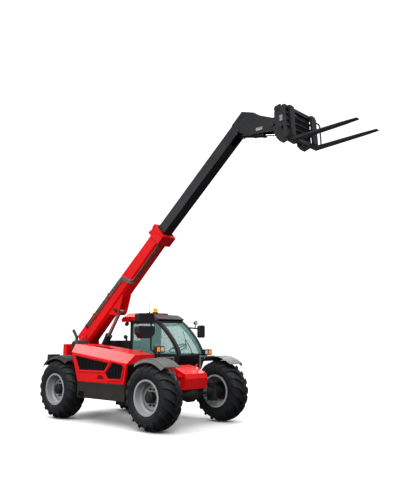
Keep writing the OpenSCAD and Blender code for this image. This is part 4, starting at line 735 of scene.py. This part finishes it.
def dress_arch_liner():
    """The black sheet on the pod's front end, behind the front wheel."""
    lean = (POD_FRONT_TOP - POD_FRONT_FOOT).normalized()
    out = Vector((lean.y, 0, -lean.x)) * MM
    low = POD_FRONT_FOOT + lean * LINER_FOOT_MARGIN
    high = POD_FRONT_TOP - lean * LINER_TOP_MARGIN
    near, far = LINER_Y
    outline = [at(low.x, near, low.y), at(low.x, far, low.y),
               at(high.x, far, high.y), at(high.x, near, high.y)]
    bm = bmesh.new()
    plate(bm, [point + out * LINER_GAP for point in outline], out * LINER_THICKNESS)
    piece("arch_liner", bm, ROUGH_BLACK, "engine_lid")


# Skirt under the pod, in metres from its box
SKIRT_BOLTS = 5
SKIRT_BOLT_INSET, SKIRT_BOLT_DROP = 0.08, 0.03
SKIRT_PROUD = 0.0015
SEAM_FROM_REAR, SEAM_FROM_FRONT = 0.30, 0.34
SEAM_WIDTH, SEAM_END_GAP = 0.006, 0.015
LIP_INSET, LIP_LOW, LIP_HIGH = 0.01, 0.010, 0.002
STEP_INSET = 0.047
STEP_WIDTH, STEP_LOW, STEP_HIGH = 0.181, 0.014, 0.128
STEP_RIBS, STEP_RIB_LOW, STEP_RIB_PITCH, STEP_RIB_HEIGHT = 5, 0.026, 0.02, 0.009
STEP_RIB_ENDS = (0.005, 0.175)
# Depths behind the skirt's face: the backs of seam and lip, the step's floor, and its ribs
SEAM_BACK, LIP_BACK = 0.002, 0.003
STEP_FLOOR, STEP_RIB_DEPTHS = (0.0085, 0.0105), (0.002, 0.009)


def dress_skirt():
    low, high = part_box("side_skirt")
    face = low.y
    proud = face - SKIRT_PROUD
    bm = bmesh.new()
    for x in spread(low.x + SKIRT_BOLT_INSET, high.x - SKIRT_BOLT_INSET, SKIRT_BOLTS):
        bolt(bm, Vector((x, face, high.z - SKIRT_BOLT_DROP)), RIGHT_SIDE, 8, 6)
    for x in (low.x + SEAM_FROM_REAR, high.x - SEAM_FROM_FRONT):
        foot, top = low.z + SEAM_END_GAP, high.z - SEAM_END_GAP
        block(bm, (x, proud, foot), (x + SEAM_WIDTH, face + SEAM_BACK, top), 0.6)
    piece("skirt_trim", bm, SKIRT_GREY, "chassis")
    bm = bmesh.new()
    rear, front = low.x + LIP_INSET, high.x - LIP_INSET
    block(bm, (rear, proud, high.z - LIP_LOW), (front, face + LIP_BACK, high.z - LIP_HIGH), 1)
    piece("skirt_lip", bm, FENDER_GREY, "chassis")
    step = low.x + STEP_INSET
    near, far = (face + depth for depth in STEP_FLOOR)
    bm = bmesh.new()
    block(bm, (step, near, low.z + STEP_LOW), (step + STEP_WIDTH, far, low.z + STEP_HIGH), 0.5)
    near, far = (face + depth for depth in STEP_RIB_DEPTHS)
    rear, front = (step + along for along in STEP_RIB_ENDS)
    for k in range(STEP_RIBS):
        z = low.z + STEP_RIB_LOW + STEP_RIB_PITCH * k
        block(bm, (rear, near, z), (front, far, z + STEP_RIB_HEIGHT), 1.2)
    piece("skirt_step", bm, ROUGH_BLACK, "chassis")


# Cab: the windscreen's curve as (forward, up), then shares along it and places to the left
SCREEN_LOW, SCREEN_BULGE, SCREEN_TOP = Vector((875, 1330)), Vector((700, 1750)), Vector((190, 2090))
BLADE_SHARES, BLADE_Y, BLADE_POINTS = (0.16, 0.66), (560, 780), 9
BLADE_PROUD, BLADE_RADIUS, ARM_RADIUS, SPINDLE_RADIUS = -6, 5, 7, 18
# Share, place and how far outside the glass, for each bend of the wiper's arm
WIPER_ARM = ((0.05, 690, 4), (0.2, 680, 12), (0.42, 672, 2))
SPINDLE_SHARE, SPINDLE_Y, SPINDLE_ENDS = 0.045, 690, (-25, 22)
SEAL_SHARES, SEAL_Y, SEAL_POINTS = (0.07, 0.94), (358, 1018), 15
SEAL_PROUD, SEAL_RADIUS = -8, 7


def screen_point(u, y, proud):
    """A place on the windscreen's curve, so far outside it."""
    p = SCREEN_LOW * (1 - u) ** 2 + SCREEN_BULGE * 2 * u * (1 - u) + SCREEN_TOP * u * u
    slope = ((SCREEN_BULGE - SCREEN_LOW) * (1 - u) + (SCREEN_TOP - SCREEN_BULGE) * u).normalized()
    return at(p.x + proud * slope.y, y, p.y - proud * slope.x)


def dress_windscreen():
    bm = bmesh.new()
    blade = zip(spread(*BLADE_SHARES, BLADE_POINTS), spread(*BLADE_Y, BLADE_POINTS))
    tube_path(bm, [screen_point(u, y, BLADE_PROUD) for u, y in blade], BLADE_RADIUS, 8)
    tube_path(bm, [screen_point(*bend) for bend in WIPER_ARM], ARM_RADIUS, 8)
    inner, outer = (screen_point(SPINDLE_SHARE, SPINDLE_Y, proud) for proud in SPINDLE_ENDS)
    rod(bm, inner, outer, SPINDLE_RADIUS, 16, round_mm=3)
    piece("screen_wiper", bm, BLACK_PLASTIC, "chassis")
    bm = bmesh.new()
    for y in SEAL_Y:
        line = [screen_point(u, y, SEAL_PROUD) for u in spread(*SEAL_SHARES, SEAL_POINTS)]
        tube_path(bm, line, SEAL_RADIUS, 8)
    piece("screen_seal", bm, BLACK_PLASTIC, "chassis")


DOOR_LOCK = at(425, 1107, 1335)
# Start, end, radius and rounding of the door lock's rose and its barrel
DOOR_LOCK_STEPS = ((0, 8, 11, 2), (7, 10, 7, 1))


def dress_door():
    bm = bmesh.new()
    for start, end, radius, soft in DOOR_LOCK_STEPS:
        rod(bm, DOOR_LOCK + ACROSS * start * MM, DOOR_LOCK + ACROSS * end * MM, radius, 24, round_mm=soft)
    piece("door_lock", bm, ZINC_STEEL, "cab_door")


# The joystick's foot, and from there its boot, stick and knob in metres
JOYSTICK_FOOT = at(30, 395, 1352)
BOOT_TOP = Vector((0, 0, 0.05))
STICK_FOOT, STICK_TOP = Vector((0, 0, 0.04)), Vector((0.02, 0, 0.15))
KNOB_PLACE, KNOB_RADIUS = Vector((0.022, 0, 0.16)), 0.026
LEVER_COUNT, LEVER_X, LEVER_PITCH, LEVER_Y = 3, -110, 45, 380
LEVER_LOW, LEVER_HIGH, LEVER_FALL = 1385, 1440, 10
PEDAL_Y, PEDAL_HALF_WIDTH = (600, 780), 35
PEDAL_X, PEDAL_Z = (545, 560), (925, 1010)
PEDAL_TURN = math.radians(-35)
PEDAL_ARM_X, PEDAL_ARM_Z = (560, 575), (920, 960)
INSTRUMENT_LOW, INSTRUMENT_HIGH = at(585, 600, 1285), at(690, 780, 1345)
INSTRUMENT_TURN = math.radians(28)


def dress_cab_inside():
    bm = bmesh.new()
    rod(bm, JOYSTICK_FOOT, JOYSTICK_FOOT + BOOT_TOP, 34, 20, 20, 4)
    rod(bm, JOYSTICK_FOOT + STICK_FOOT, JOYSTICK_FOOT + STICK_TOP, 8, 12)
    bmesh.ops.create_uvsphere(bm, u_segments=20, v_segments=12, radius=KNOB_RADIUS,
                              matrix=Matrix.Translation(JOYSTICK_FOOT + KNOB_PLACE))
    for k in range(LEVER_COUNT):
        x = LEVER_X - LEVER_PITCH * k
        fall = LEVER_FALL * k
        rod(bm, at(x, LEVER_Y, LEVER_LOW - fall), at(x - 4, LEVER_Y, LEVER_HIGH - fall), 7, 10, 9, 2)
    piece("control_levers", bm, BLACK_PLASTIC, "chassis")
    bm = bmesh.new()
    for y in PEDAL_Y:
        ends = (y - PEDAL_HALF_WIDTH, y + PEDAL_HALF_WIDTH)
        low, high = (at(*corner) for corner in zip(PEDAL_X, ends, PEDAL_Z))
        block(bm, low, high, 4, Matrix.Rotation(PEDAL_TURN, 4, "Y"))
        foot, top = (at(x, y, z) for x, z in zip(PEDAL_ARM_X, PEDAL_ARM_Z))
        rod(bm, foot, top, 8, 10)
    piece("pedals", bm, CHASSIS_BLACK, "chassis")
    bm = bmesh.new()
    block(bm, INSTRUMENT_LOW, INSTRUMENT_HIGH, 16, Matrix.Rotation(INSTRUMENT_TURN, 4, "Y"))
    piece("instrument_pod", bm, BLACK_PLASTIC, "chassis")


# Seat: pads as length, width and thickness, and how they are stuffed and sewn
SEAT_Y = 685
CUSHION_PLACE, CUSHION_SIZE = at(-310, SEAT_Y, 1318), (480, 460, 84)
BACKREST_PLACE, BACKREST_SIZE = at(-520, SEAT_Y, 1590), (615, 430, 84)
BACKREST_LEAN = math.radians(-12)
PAD_ROUND = 0.036
PAD_VOXEL, PAD_VOXEL_QUICK = 0.006, 0.012
PAD_PRESSURE = 4
PAD_FRAMES = 20
PAD_SWELL = 0.009
CHANNELS = 5
CHANNEL_DEPTH = CHANNEL_WIDTH = 0.007
# The plate under the cushion, and the bellows on it: folds, their pitch and height, how far each steps in
SEAT_PLATE_LOW, SEAT_PLATE_HIGH = at(-460, SEAT_Y - 145, 1211), at(-160, SEAT_Y + 145, 1240)
BELLOWS_X, BELLOWS_Y, BELLOWS_Z = (-445, -175), (SEAT_Y - 130, SEAT_Y + 130), 1240
FOLDS, FOLD_PITCH, FOLD_HEIGHT, FOLD_STEP = 3, 12, 9, 3


def pad_block(name, centre, size, turn):
    bm = bmesh.new()
    matrix = Matrix.Translation(centre) @ turn @ Matrix.Diagonal((*[v * MM for v in size], 1))
    verts = bmesh.ops.create_cube(bm, size=1, matrix=matrix)["verts"]
    round_edges(bm, edges_of(verts), PAD_ROUND, 4)
    mesh = bpy.data.meshes.new(name)
    bm.to_mesh(mesh)
    bm.free()
    obj = bpy.data.objects.new(name, mesh)
    scene.collection.objects.link(obj)
    bpy.context.view_layer.objects.active = obj
    remesh = obj.modifiers.new("remesh", "REMESH")
    remesh.mode = "VOXEL"
    remesh.voxel_size = PAD_VOXEL
    bpy.ops.object.modifier_apply(modifier=remesh.name)
    return obj


def blow_up(obj):
    """Swells the active object as cloth under pressure."""
    cloth = obj.modifiers.new("cloth", "CLOTH")
    cloth.settings.use_pressure = True
    cloth.settings.uniform_pressure_force = PAD_PRESSURE
    cloth.settings.effector_weights.gravity = 0
    for step in range(1, PAD_FRAMES + 1):
        scene.frame_set(step)
    bpy.ops.object.modifier_apply(modifier=cloth.name)
    scene.frame_set(1)


def pad(name, centre, size, turn):
    """A stuffed pad: a rounded block, blown up a little as cloth, with sewn channels across its face."""
    obj = pad_block(name, centre, size, turn)
    start = [vert.co.copy() for vert in obj.data.vertices]
    blow_up(obj)
    out = turn.to_3x3() @ UP
    long = turn.to_3x3() @ FORWARD
    pitch = size[0] * MM / CHANNELS
    for vert, old in zip(obj.data.vertices, start):
        moved = vert.co - old
        if moved.length > PAD_SWELL:
            vert.co = old + moved.normalized() * PAD_SWELL
        if (old - centre).dot(out) > 0.25 * size[2] * MM:
            along = (old - centre).dot(long) / pitch
            gap = abs(along - round(along)) if abs(along) > 0.5 else 1
            vert.co -= out * CHANNEL_DEPTH * math.exp(-((gap * pitch) / CHANNEL_WIDTH) ** 2)
    smooth = obj.modifiers.new("smooth", "SUBSURF")
    smooth.levels = smooth.render_levels = 1
    obj.data.materials.append(SEAT_CLOTH)
    obj.data.shade_smooth()
    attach(obj, "chassis")
    return obj


def dress_seat():
    cushion = pad("seat_cushion", CUSHION_PLACE, CUSHION_SIZE, Matrix())
    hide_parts("seat")
    back_turn = Matrix.Rotation(BACKREST_LEAN, 4, "Y") @ Matrix.Rotation(math.radians(90), 4, "Y")
    pad("seat_backrest", BACKREST_PLACE, BACKREST_SIZE, back_turn)
    bm = bmesh.new()
    block(bm, SEAT_PLATE_LOW, SEAT_PLATE_HIGH, 6)
    for k in range(FOLDS):
        z = BELLOWS_Z + k * FOLD_PITCH
        inset = k * FOLD_STEP
        low = at(BELLOWS_X[0] + inset, BELLOWS_Y[0] + inset, z)
        high = at(BELLOWS_X[1] - inset, BELLOWS_Y[1] - inset, z + FOLD_HEIGHT)
        block(bm, low, high, 4)
    piece("seat_base", bm, BLACK_PLASTIC, "chassis")


# Lamps
LAMP_RIGHT = (HALF_BASE - 350, -505, 1420)
LAMP_LEFT = (935.3, 1072, 1335)
LENS_OFFSET, LENS_HALF_WIDTH = 55, 44
LENS_X, LENS_Z = (38, 47), (17, 103)
BOWL_Z, BOWL_RADIUS = 60, 38
RIDGE_COUNT, RIDGE_LOW, RIDGE_PITCH, RIDGE_HEIGHT = 5, 28, 16, 3
RIDGE_X, RIDGE_END_GAP = (45, 48.5), 4
# Place of each work lamp, and the way that it faces
WORK_LAMPS = ((-850, 360, 2015, -1), (-850, 330, 1725, -1), (545, 1083, 2030, 1))
WORK_LAMP_DEPTH = 59
WORK_LENS = ((0.5, 3), (22, 2.5), (36, 0), (36, -3), (0.5, -3))
TAIL_LAMP_X = (-HALF_BASE - 496, -HALF_BASE - 468)
TAIL_LAMP_Z = (1215, 1310)
TAIL_LENSES = (("tail_lenses_red", RED_LENS, (840, 950)), ("tail_lenses_amber", AMBER_LENS, (955, 1050)))


def reflector(bm, place, way, radius_mm, depth_mm):
    bowl = ((2, -depth_mm), (radius_mm * 0.5, -0.8 * depth_mm), (radius_mm * 0.85, -0.35 * depth_mm),
            (radius_mm, 0), (radius_mm + 2, 0), (radius_mm + 2, -1))
    turned(bm, place, way, bowl, 40)


def dress_lamps():
    indicators, lenses, bowls = bmesh.new(), bmesh.new(), bmesh.new()
    for (x, y, z), outer in ((LAMP_RIGHT, -1), (LAMP_LEFT, 1)):
        for sign in SIDES:
            target = indicators if sign == outer else lenses
            mid = y + sign * LENS_OFFSET
            low, high = mid - LENS_HALF_WIDTH, mid + LENS_HALF_WIDTH
            block(target, at(x + LENS_X[0], low, z + LENS_Z[0]), at(x + LENS_X[1], high, z + LENS_Z[1]), 4)
            if sign != outer:
                reflector(bowls, at(x + LENS_X[0] - 1, mid, z + BOWL_Z), FORWARD, BOWL_RADIUS, 3)
                for k in range(RIDGE_COUNT):
                    ridge = z + RIDGE_LOW + RIDGE_PITCH * k
                    start = at(x + RIDGE_X[0], low + RIDGE_END_GAP, ridge)
                    end = at(x + RIDGE_X[1], high - RIDGE_END_GAP, ridge + RIDGE_HEIGHT)
                    block(target, start, end, 0.8)
    piece("indicator_lenses", indicators, AMBER_LENS, "chassis")
    for x, y, z, way in WORK_LAMPS:
        place = at(x + way * WORK_LAMP_DEPTH, y, z)
        turned(lenses, place, FORWARD * way, WORK_LENS, 40)
        reflector(bowls, place - FORWARD * way * 2 * MM, FORWARD * way, 34, 1)
    piece("lamp_lenses", lenses, CLEAR_LENS, "chassis")
    piece("lamp_bowls", bowls, ROD_CHROME, "chassis")
    for name, material, ends in TAIL_LENSES:
        bm = bmesh.new()
        for side in SIDES:
            low, high = sorted(side * y for y in ends)
            block(bm, at(TAIL_LAMP_X[0], low, TAIL_LAMP_Z[0]), at(TAIL_LAMP_X[1], high, TAIL_LAMP_Z[1]), 6)
        piece(name, bm, material, "chassis")


# Mirrors: place, width, height and the cut of the lower corners
Mirror = namedtuple("Mirror", "name x y z width height cut")
MIRRORS_RIGHT = (Mirror("mirror_top", 845, -745, 2090, 400, 180, 6),
                 Mirror("mirror_main", 845, -745, 1815, 420, 240, 100))
MIRROR_LEFT = Mirror("mirror_left", 690, 1108, 1840, 160, 270, 6)
MIRROR_BORDER = 20
MAST_X, MAST_Y = HALF_BASE - 545, -545
MAST_CLAMP = 25


def dress_mirrors():
    for mirror in (*MIRRORS_RIGHT, MIRROR_LEFT):
        w, h, c = mirror.width / 2 - MIRROR_BORDER, mirror.height / 2 - MIRROR_BORDER, mirror.cut
        outline = ((-w, h), (w, h), (w, c - h), (w - c, -h), (c - w, -h), (-w, c - h))
        bm = bmesh.new()
        plate(bm, [at(mirror.x + 3, mirror.y + a, mirror.z + b) for a, b in outline], FORWARD * 4 * MM)
        piece(mirror.name + "_glass", bm, MIRROR_GLASS, "chassis")
    bm = bmesh.new()
    clamp = Vector((MAST_CLAMP, MAST_CLAMP, MAST_CLAMP)) * MM
    for mirror in MIRRORS_RIGHT:
        mast = at(MAST_X, MAST_Y, mirror.z)
        rod(bm, mast, at(MAST_X, mirror.y + mirror.width / 2 - 5, mirror.z), 15, 16)
        block(bm, mast - clamp, mast + clamp, 6)
    piece("mirror_brackets", bm, BLACK_PLASTIC, "chassis")


# Beacon, in millimetres above the roof and from its middle
BEACON_PLACE = Vector((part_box("beacon")[1].x - 0.062, 0.690, ROOF_TOP))
BEACON_RIBS, BEACON_RIB_LOW, BEACON_RIB_PITCH = 6, 36, 11
BEACON_RIB_RADIUS, BEACON_RIB_WIRE = 48, 1.6
FOOT_RING_Z, FOOT_RING_RADIUS, FOOT_RING_WIRE = 12, 61, 3
BEACON_BOLT_Z = 22
BEACON_BOLTS, BEACON_BOLT_CIRCLE, BEACON_BOLT_STEP = 3, 55, 2.1


def dress_beacon():
    bm = bmesh.new()
    for k in range(BEACON_RIBS):
        rib = BEACON_PLACE + UP * (BEACON_RIB_LOW + BEACON_RIB_PITCH * k) * MM
        ring(bm, rib, UP, BEACON_RIB_RADIUS, BEACON_RIB_WIRE, 48)
    piece("beacon_ribs", bm, AMBER_LENS, "chassis")
    bm = bmesh.new()
    ring(bm, BEACON_PLACE + UP * FOOT_RING_Z * MM, UP, FOOT_RING_RADIUS, FOOT_RING_WIRE, 48)
    for k in range(BEACON_BOLTS):
        angle = k * BEACON_BOLT_STEP
        around = Vector((math.cos(angle), math.sin(angle), 0)) * BEACON_BOLT_CIRCLE
        bolt(bm, BEACON_PLACE + (around + UP * BEACON_BOLT_Z) * MM, UP, 4, 4)
    piece("beacon_foot", bm, BLACK_PLASTIC, "chassis")


# Boom: places along it from its pivot and across it, and the half widths of what lies across
LIFT_ROD_PIN = on_boom(1240, 0, -265)
LIFT_FOOT_PIN = at(-HALF_BASE - 230, 0, 947)
BOOM_PIN = at(-HALF_BASE - 390, 0, 1696)
COLLAR_SIDE, COLLAR_TOP, COLLAR_FLOOR = 190, 268, -132
COLLAR_BOLT = (11, 9)
OUTER_SIDE = 154
PLUGS = (*((s, 20) for s in (420, 760, 1040, 1500)), *((s, -10) for s in (1820, 2360, 2900)))
INNER_SIDE = 121
NECK_SIDE = 125
NECK_PIN = (6020, -20)
NECK_BOSS = (6170, 100)
NECK_BOLTS = ((6430, -250), (6480, -420), (6400, 60))
NECK_PLUG = (5560, 150)
NECK_PLATE_LOW, NECK_PLATE_HIGH = at(3226, -127.5, 5547), at(3382, -124.5, 5604)
PIN_CAP_HEIGHT, PIN_CAP_ROUND = 10, 3
# A pin's lock plate: its length past the pin's radius, its width and its thickness
LOCK_REACH, LOCK_WIDTH, LOCK_THICKNESS = 50, 44, 10
LOCK_HEIGHT = 12
# Its bolt: how far past the pin's radius, the height of its seat, and its head
LOCK_BOLT_REACH, LOCK_BOLT_SEAT, LOCK_BOLT = 26, 16, (9, 8)
# Where the plate's middle lies on the way from the pin to the bolt
LOCK_MIDDLE = 0.55


def pin_cap(bm, place, way, radius_mm, plate_way):
    """The end of a pin, with its lock plate and bolt."""
    rod(bm, place, place + way * PIN_CAP_HEIGHT * MM, radius_mm, 40, round_mm=PIN_CAP_ROUND)
    along = Vector(plate_way).normalized()
    reach = along * (radius_mm + LOCK_BOLT_REACH) * MM
    turn = Matrix((along, way.cross(along), way)).transposed().to_4x4()
    size = ((radius_mm + LOCK_REACH) * MM, LOCK_WIDTH * MM, LOCK_THICKNESS * MM, 1)
    centre = place + reach * LOCK_MIDDLE + way * LOCK_HEIGHT * MM
    matrix = Matrix.Translation(centre) @ turn @ Matrix.Diagonal(size)
    verts = bmesh.ops.create_cube(bm, size=1, matrix=matrix)["verts"]
    round_edges(bm, edges_of(verts), PIN_CAP_ROUND * MM)
    bolt(bm, place + reach + way * LOCK_BOLT_SEAT * MM, way, *LOCK_BOLT)


def pin_ends(name, pin, half_mm, radius_mm, plate_way, material, body):
    """Both ends of a pin that lies across the machine."""
    bm = bmesh.new()
    for side in SIDES:
        pin_cap(bm, pin + ACROSS * side * half_mm * MM, ACROSS * side, radius_mm, plate_way)
    piece(name, bm, material, body)


def dress_outer_boom():
    bm = bmesh.new()
    for side in SIDES:
        for s in (3165, 3345):
            for t in (-95, -20, 225):
                bolt(bm, on_boom(s, side * COLLAR_SIDE, t), ACROSS * side, *COLLAR_BOLT)
    for s in (3200, 3310):
        for y in (-130, 0, 130):
            bolt(bm, on_boom(s, y, COLLAR_TOP), BOOM_UP, *COLLAR_BOLT)
            bolt(bm, on_boom(s, y, COLLAR_FLOOR), -BOOM_UP, *COLLAR_BOLT)
    piece("collar_bolts", bm, CHASSIS_BLACK, "boom")
    lift_way = BOOM_UP - 0.4 * BOOM_WAY
    pin_ends("lift_pin_caps", LIFT_ROD_PIN, 123, 46, lift_way, CHASSIS_BLACK, "boom")
    bm = bmesh.new()
    for side in SIDES:
        for s, t in PLUGS:
            rod(bm, on_boom(s, side * OUTER_SIDE, t), on_boom(s, side * (OUTER_SIDE + 6), t), 11, 16, 9, 1)
    piece("boom_plugs", bm, RED_PAINT, "boom")
    pin_ends("boom_pin_caps", BOOM_PIN, 197, 62, (-0.5, 0, -1), RED_PAINT, "chassis")
    pin_ends("lift_foot_caps", LIFT_FOOT_PIN, 85, 42, UP, CHASSIS_BLACK, "chassis")


def boss(bm, place, low, high, side, radius_mm, sides, top_mm=None, round_mm=0.0):
    """A round boss on one side of the boom, between two distances from its middle."""
    s, t = place
    rod(bm, on_boom(s, side * low, t), on_boom(s, side * high, t), radius_mm, sides, top_mm, round_mm)


def dress_inner_boom():
    bm = bmesh.new()
    for side in SIDES:
        out = ACROSS * side
        pin_cap(bm, on_boom(NECK_PIN[0], side * NECK_SIDE, NECK_PIN[1]), out, 40, BOOM_WAY)
        boss(bm, NECK_BOSS, INNER_SIDE, INNER_SIDE + 9, side, 26, 24, 24, 2)
        for s, t in NECK_BOLTS:
            bolt(bm, on_boom(s, side * NECK_SIDE, t), out, 9, 8)
        boss(bm, NECK_PLUG, INNER_SIDE, INNER_SIDE + 3, side, 14, 20)
    piece("neck_caps", bm, BOOM_BLACK, "inner_boom")
    bm = bmesh.new()
    block(bm, NECK_PLATE_LOW, NECK_PLATE_HIGH, 1)
    piece("neck_blank_plate", bm, BLANK_PLATE, "inner_boom")


# Head and carriage: places along the forks from the head pin and above it
CHEEK_SIDE = 161
HEAD_CAP_RADIUS, HEAD_CAP_HEIGHT = 52, 25
LOWER_PIN = (76, -205)
LOWER_CAP_RADIUS, LOWER_CAP_HEIGHT = 46, 7
CHEEK_BOLTS = ((180, 40), (290, 60), (270, -330))
HOOK_SIDE = 351
HOOK_EYE = (218, 150)
EYE_RIM = ((20, 0), (20, 6), (38, 10), (46, 10), (50, 6), (50, 0))
FOOT_SIDE = 390
FOOT_NUT = (320, -216)
FORK_Y = 350
FORK_LOCK_X = 522
GUARD_Y = 505
GUARD_BENDS = ((475, 40), (540, -8), (568, -50), (574, -110), (566, -420), (552, -452), (495, -470))
PLATE_LOW, PLATE_HIGH = on_head(268, -353.5, -100), on_head(340, -350, 0)


def dress_head():
    bm = bmesh.new()
    for side in SIDES:
        out = ACROSS * side
        cheek = side * CHEEK_SIDE
        cap_end = cheek + side * HEAD_CAP_HEIGHT
        rod(bm, on_head(0, cheek, 0), on_head(0, cap_end, 0), HEAD_CAP_RADIUS, 40, round_mm=3)
        x, z = LOWER_PIN
        cap_end = cheek + side * LOWER_CAP_HEIGHT
        rod(bm, on_head(x, cheek, z), on_head(x, cap_end, z), LOWER_CAP_RADIUS, 40, round_mm=2)
        for x, z in CHEEK_BOLTS:
            bolt(bm, on_head(x, cheek, z), out, 10, 8)
        turned(bm, on_head(HOOK_EYE[0], side * HOOK_SIDE, HOOK_EYE[1]), out, EYE_RIM, 40)
        x, z = FOOT_NUT
        rod(bm, on_head(x, side * FOOT_SIDE, z), on_head(x, side * (FOOT_SIDE + 10), z), 24, 6)
    piece("head_caps", bm, BOOM_BLACK, "fork_head")
    bm = bmesh.new()
    for side in SIDES:
        y = side * FORK_Y
        rod(bm, on_head(FORK_LOCK_X, y, 98), on_head(FORK_LOCK_X, y, 120), 14, 20, round_mm=3)
        block(bm, on_head(FORK_LOCK_X - 20, y - 30, 92), on_head(FORK_LOCK_X + 20, y + 30, 99), 2)
    piece("fork_locks", bm, ZINC_STEEL, "fork_head")
    bm = bmesh.new()
    block(bm, PLATE_LOW, PLATE_HIGH, 1, Matrix.Rotation(-FORK_TILT, 4, "Y"))
    piece("carriage_blank_plate", bm, BLANK_PLATE, "fork_head")
    bm = bmesh.new()
    tube_path(bm, [on_head(x, GUARD_Y, z) for x, z in GUARD_BENDS], 14, 12)
    piece("carriage_guard", bm, BOOM_BLACK, "fork_head")


# Lift cylinder's pipes and bands, in metres along the barrel from its foot pin
LIFT_PIPE_ENDS = (0.20, 0.90)
LIFT_PIPE_RISE, LIFT_PIPE_Y, LIFT_PIPE_DROP = 0.088, 0.03, 0.02
LIFT_BANDS = (0.35, 0.70)


def dress_cylinders():
    way = (LIFT_ROD_PIN - LIFT_FOOT_PIN).normalized()
    up = ACROSS.cross(way).normalized()
    bm = bmesh.new()
    for side in SIDES:
        line = LIFT_FOOT_PIN + up * LIFT_PIPE_RISE + ACROSS * side * LIFT_PIPE_Y
        start, end = (line + way * along for along in LIFT_PIPE_ENDS)
        drop = up * LIFT_PIPE_DROP
        tube_path(bm, [start - drop, start, end, end - drop], 9, 10)
    for along in LIFT_BANDS:
        ring(bm, LIFT_FOOT_PIN + way * along, way, 77, 4, 48)
    piece("lift_pipes", bm, CAST_BLACK, "lift_cylinder")


# Nose, axles and exhaust
NOSE_LEVER_FOOT = at(HALF_BASE - 60, 226, 1096)
# Bends of the nose's lever from its foot, in metres
NOSE_LEVER_BENDS = ((0, 0, 0), (0, 0.004, 0.024), (0, 0.072, 0.078))
NOSE_SIDE = 312.3
NOSE_BOLTS = ((-180, 760), (-60, 780), (60, 770), (-200, 1050))
AXLE_BOLT_X = (-72, 72)
AXLE_BOLT_Y = (-402.3, -340.3, 340.3, 402.3)
SLEEVE_Z = (641, 714)
UPPER_NUT_Z, LOWER_NUT_Z = 735, 580
AXLE_NUT = (20, 22)
SILENCER_X, SILENCER_Z = -HALF_BASE - 100, 1525
BAND_Y = (-560, -340)
BAND_PROFILE = ((124, -11), (127, -11), (127, 11), (124, 11))
PIPE_BEND, PIPE_MOUTH = at(-HALF_BASE - 152, -520, 1710), at(-HALF_BASE - 290, -520, 1875)
MOUTH_PROFILE = ((0.5, 0.6), (27, 0.6), (27, 0.2), (0.5, 0.2))


def dress_nose():
    bm = bmesh.new()
    tube_path(bm, [NOSE_LEVER_FOOT + Vector(bend) for bend in NOSE_LEVER_BENDS], 15, 14)
    piece("nose_lever", bm, RED_PAINT, "chassis")
    bm = bmesh.new()
    for side in SIDES:
        for x, z in NOSE_BOLTS:
            bolt(bm, at(HALF_BASE + x, side * NOSE_SIDE, z), ACROSS * side, 10, 8)
    piece("nose_bolts", bm, CHASSIS_BLACK, "chassis")


def dress_axle_bolts():
    """Bright sleeves and nuts on the long bolts between the axles' pads and the tabs above them."""
    bm = bmesh.new()
    for axle in (-HALF_BASE, HALF_BASE):
        for x in AXLE_BOLT_X:
            for y in AXLE_BOLT_Y:
                low, high = (at(axle + x, y, z) for z in SLEEVE_Z)
                rod(bm, low, high, 18, 20)
                bolt(bm, at(axle + x, y, UPPER_NUT_Z), UP, *AXLE_NUT)
                bolt(bm, at(axle + x, y, LOWER_NUT_Z), -UP, *AXLE_NUT)
    piece("axle_bolts", bm, ZINC_STEEL, "chassis")


def dress_exhaust():
    bm = bmesh.new()
    for y in BAND_Y:
        place = at(SILENCER_X, y, SILENCER_Z)
        turned(bm, place, ACROSS, BAND_PROFILE)
        block(bm, place + Vector((-20, -9, 124)) * MM, place + Vector((20, 9, 138)) * MM, 3)
    piece("silencer_bands", bm, CAST_BLACK, "chassis")
    bm = bmesh.new()
    turned(bm, PIPE_MOUTH, (PIPE_MOUTH - PIPE_BEND).normalized(), MOUTH_PROFILE, 40)
    piece("exhaust_mouth", bm, WIRE_SCREEN, "chassis")


# The solids' own finishes
NODE_FINISH = {
    RED_PAINT: ("front_nose", "rear_tail", "hood", "boom_outer"),
    ROOF_PAINT: ("cab_roof",),
    BOOM_BLACK: ("boom_inner", "tool_carrier", "fork_carriage", "forks", "lift_barrel", "tilt_barrel"),
    FRAME_PAINT: ("chassis_frame",),
    CHASSIS_BLACK: ("exhaust",),
    CAB_BLACK: ("cab_frame", "door"),
    CAST_BLACK: ("front_axle", "rear_axle", "engine_block"),
    SKIRT_GREY: ("side_skirt", "left_tank"),
    FENDER_GREY: ("fenders_front",),
    BLACK_PLASTIC: ("fenders_rear", "left_cover", "mirrors", "steering_column", "wear_pads"),
    ROUGH_BLACK: ("hood_grilles",),
    LAMP_PLASTIC: ("lamps",),
    GREY_TRIM: ("cab_floor",),
    TINTED_GLASS: ("cab_glass", "door_glass"),
    ROD_CHROME: ("lift_rod", "tilt_rod"),
    BOOM_PIPE: ("boom_pipes",),
    BEACON_AMBER: ("beacon",),
    SEAT_CLOTH: ("seat",),
}
# Solids that each corner has
CORNER_FINISH = {"tyre_": RUBBER, "rim_": RIM_SILVER, "hub_": CAST_BLACK, "knuckle_": CAST_BLACK}


def finish_node(name, material):
    nodes[name].data.materials.clear()
    nodes[name].data.materials.append(material)


for material, names in NODE_FINISH.items():
    for name in names:
        finish_node(name, material)
for stem, material in CORNER_FINISH.items():
    for corner in CORNERS:
        finish_node(stem + corner, material)

make_camera()
make_studio()
for corner in CORNERS:
    dress_wheel(corner)
dress_pod()
dress_skirt()
dress_windscreen()
dress_door()
dress_cab_inside()
dress_seat()
dress_lamps()
dress_mirrors()
dress_beacon()
dress_outer_boom()
dress_inner_boom()
dress_head()
dress_cylinders()
dress_nose()
dress_axle_bolts()
dress_exhaust()
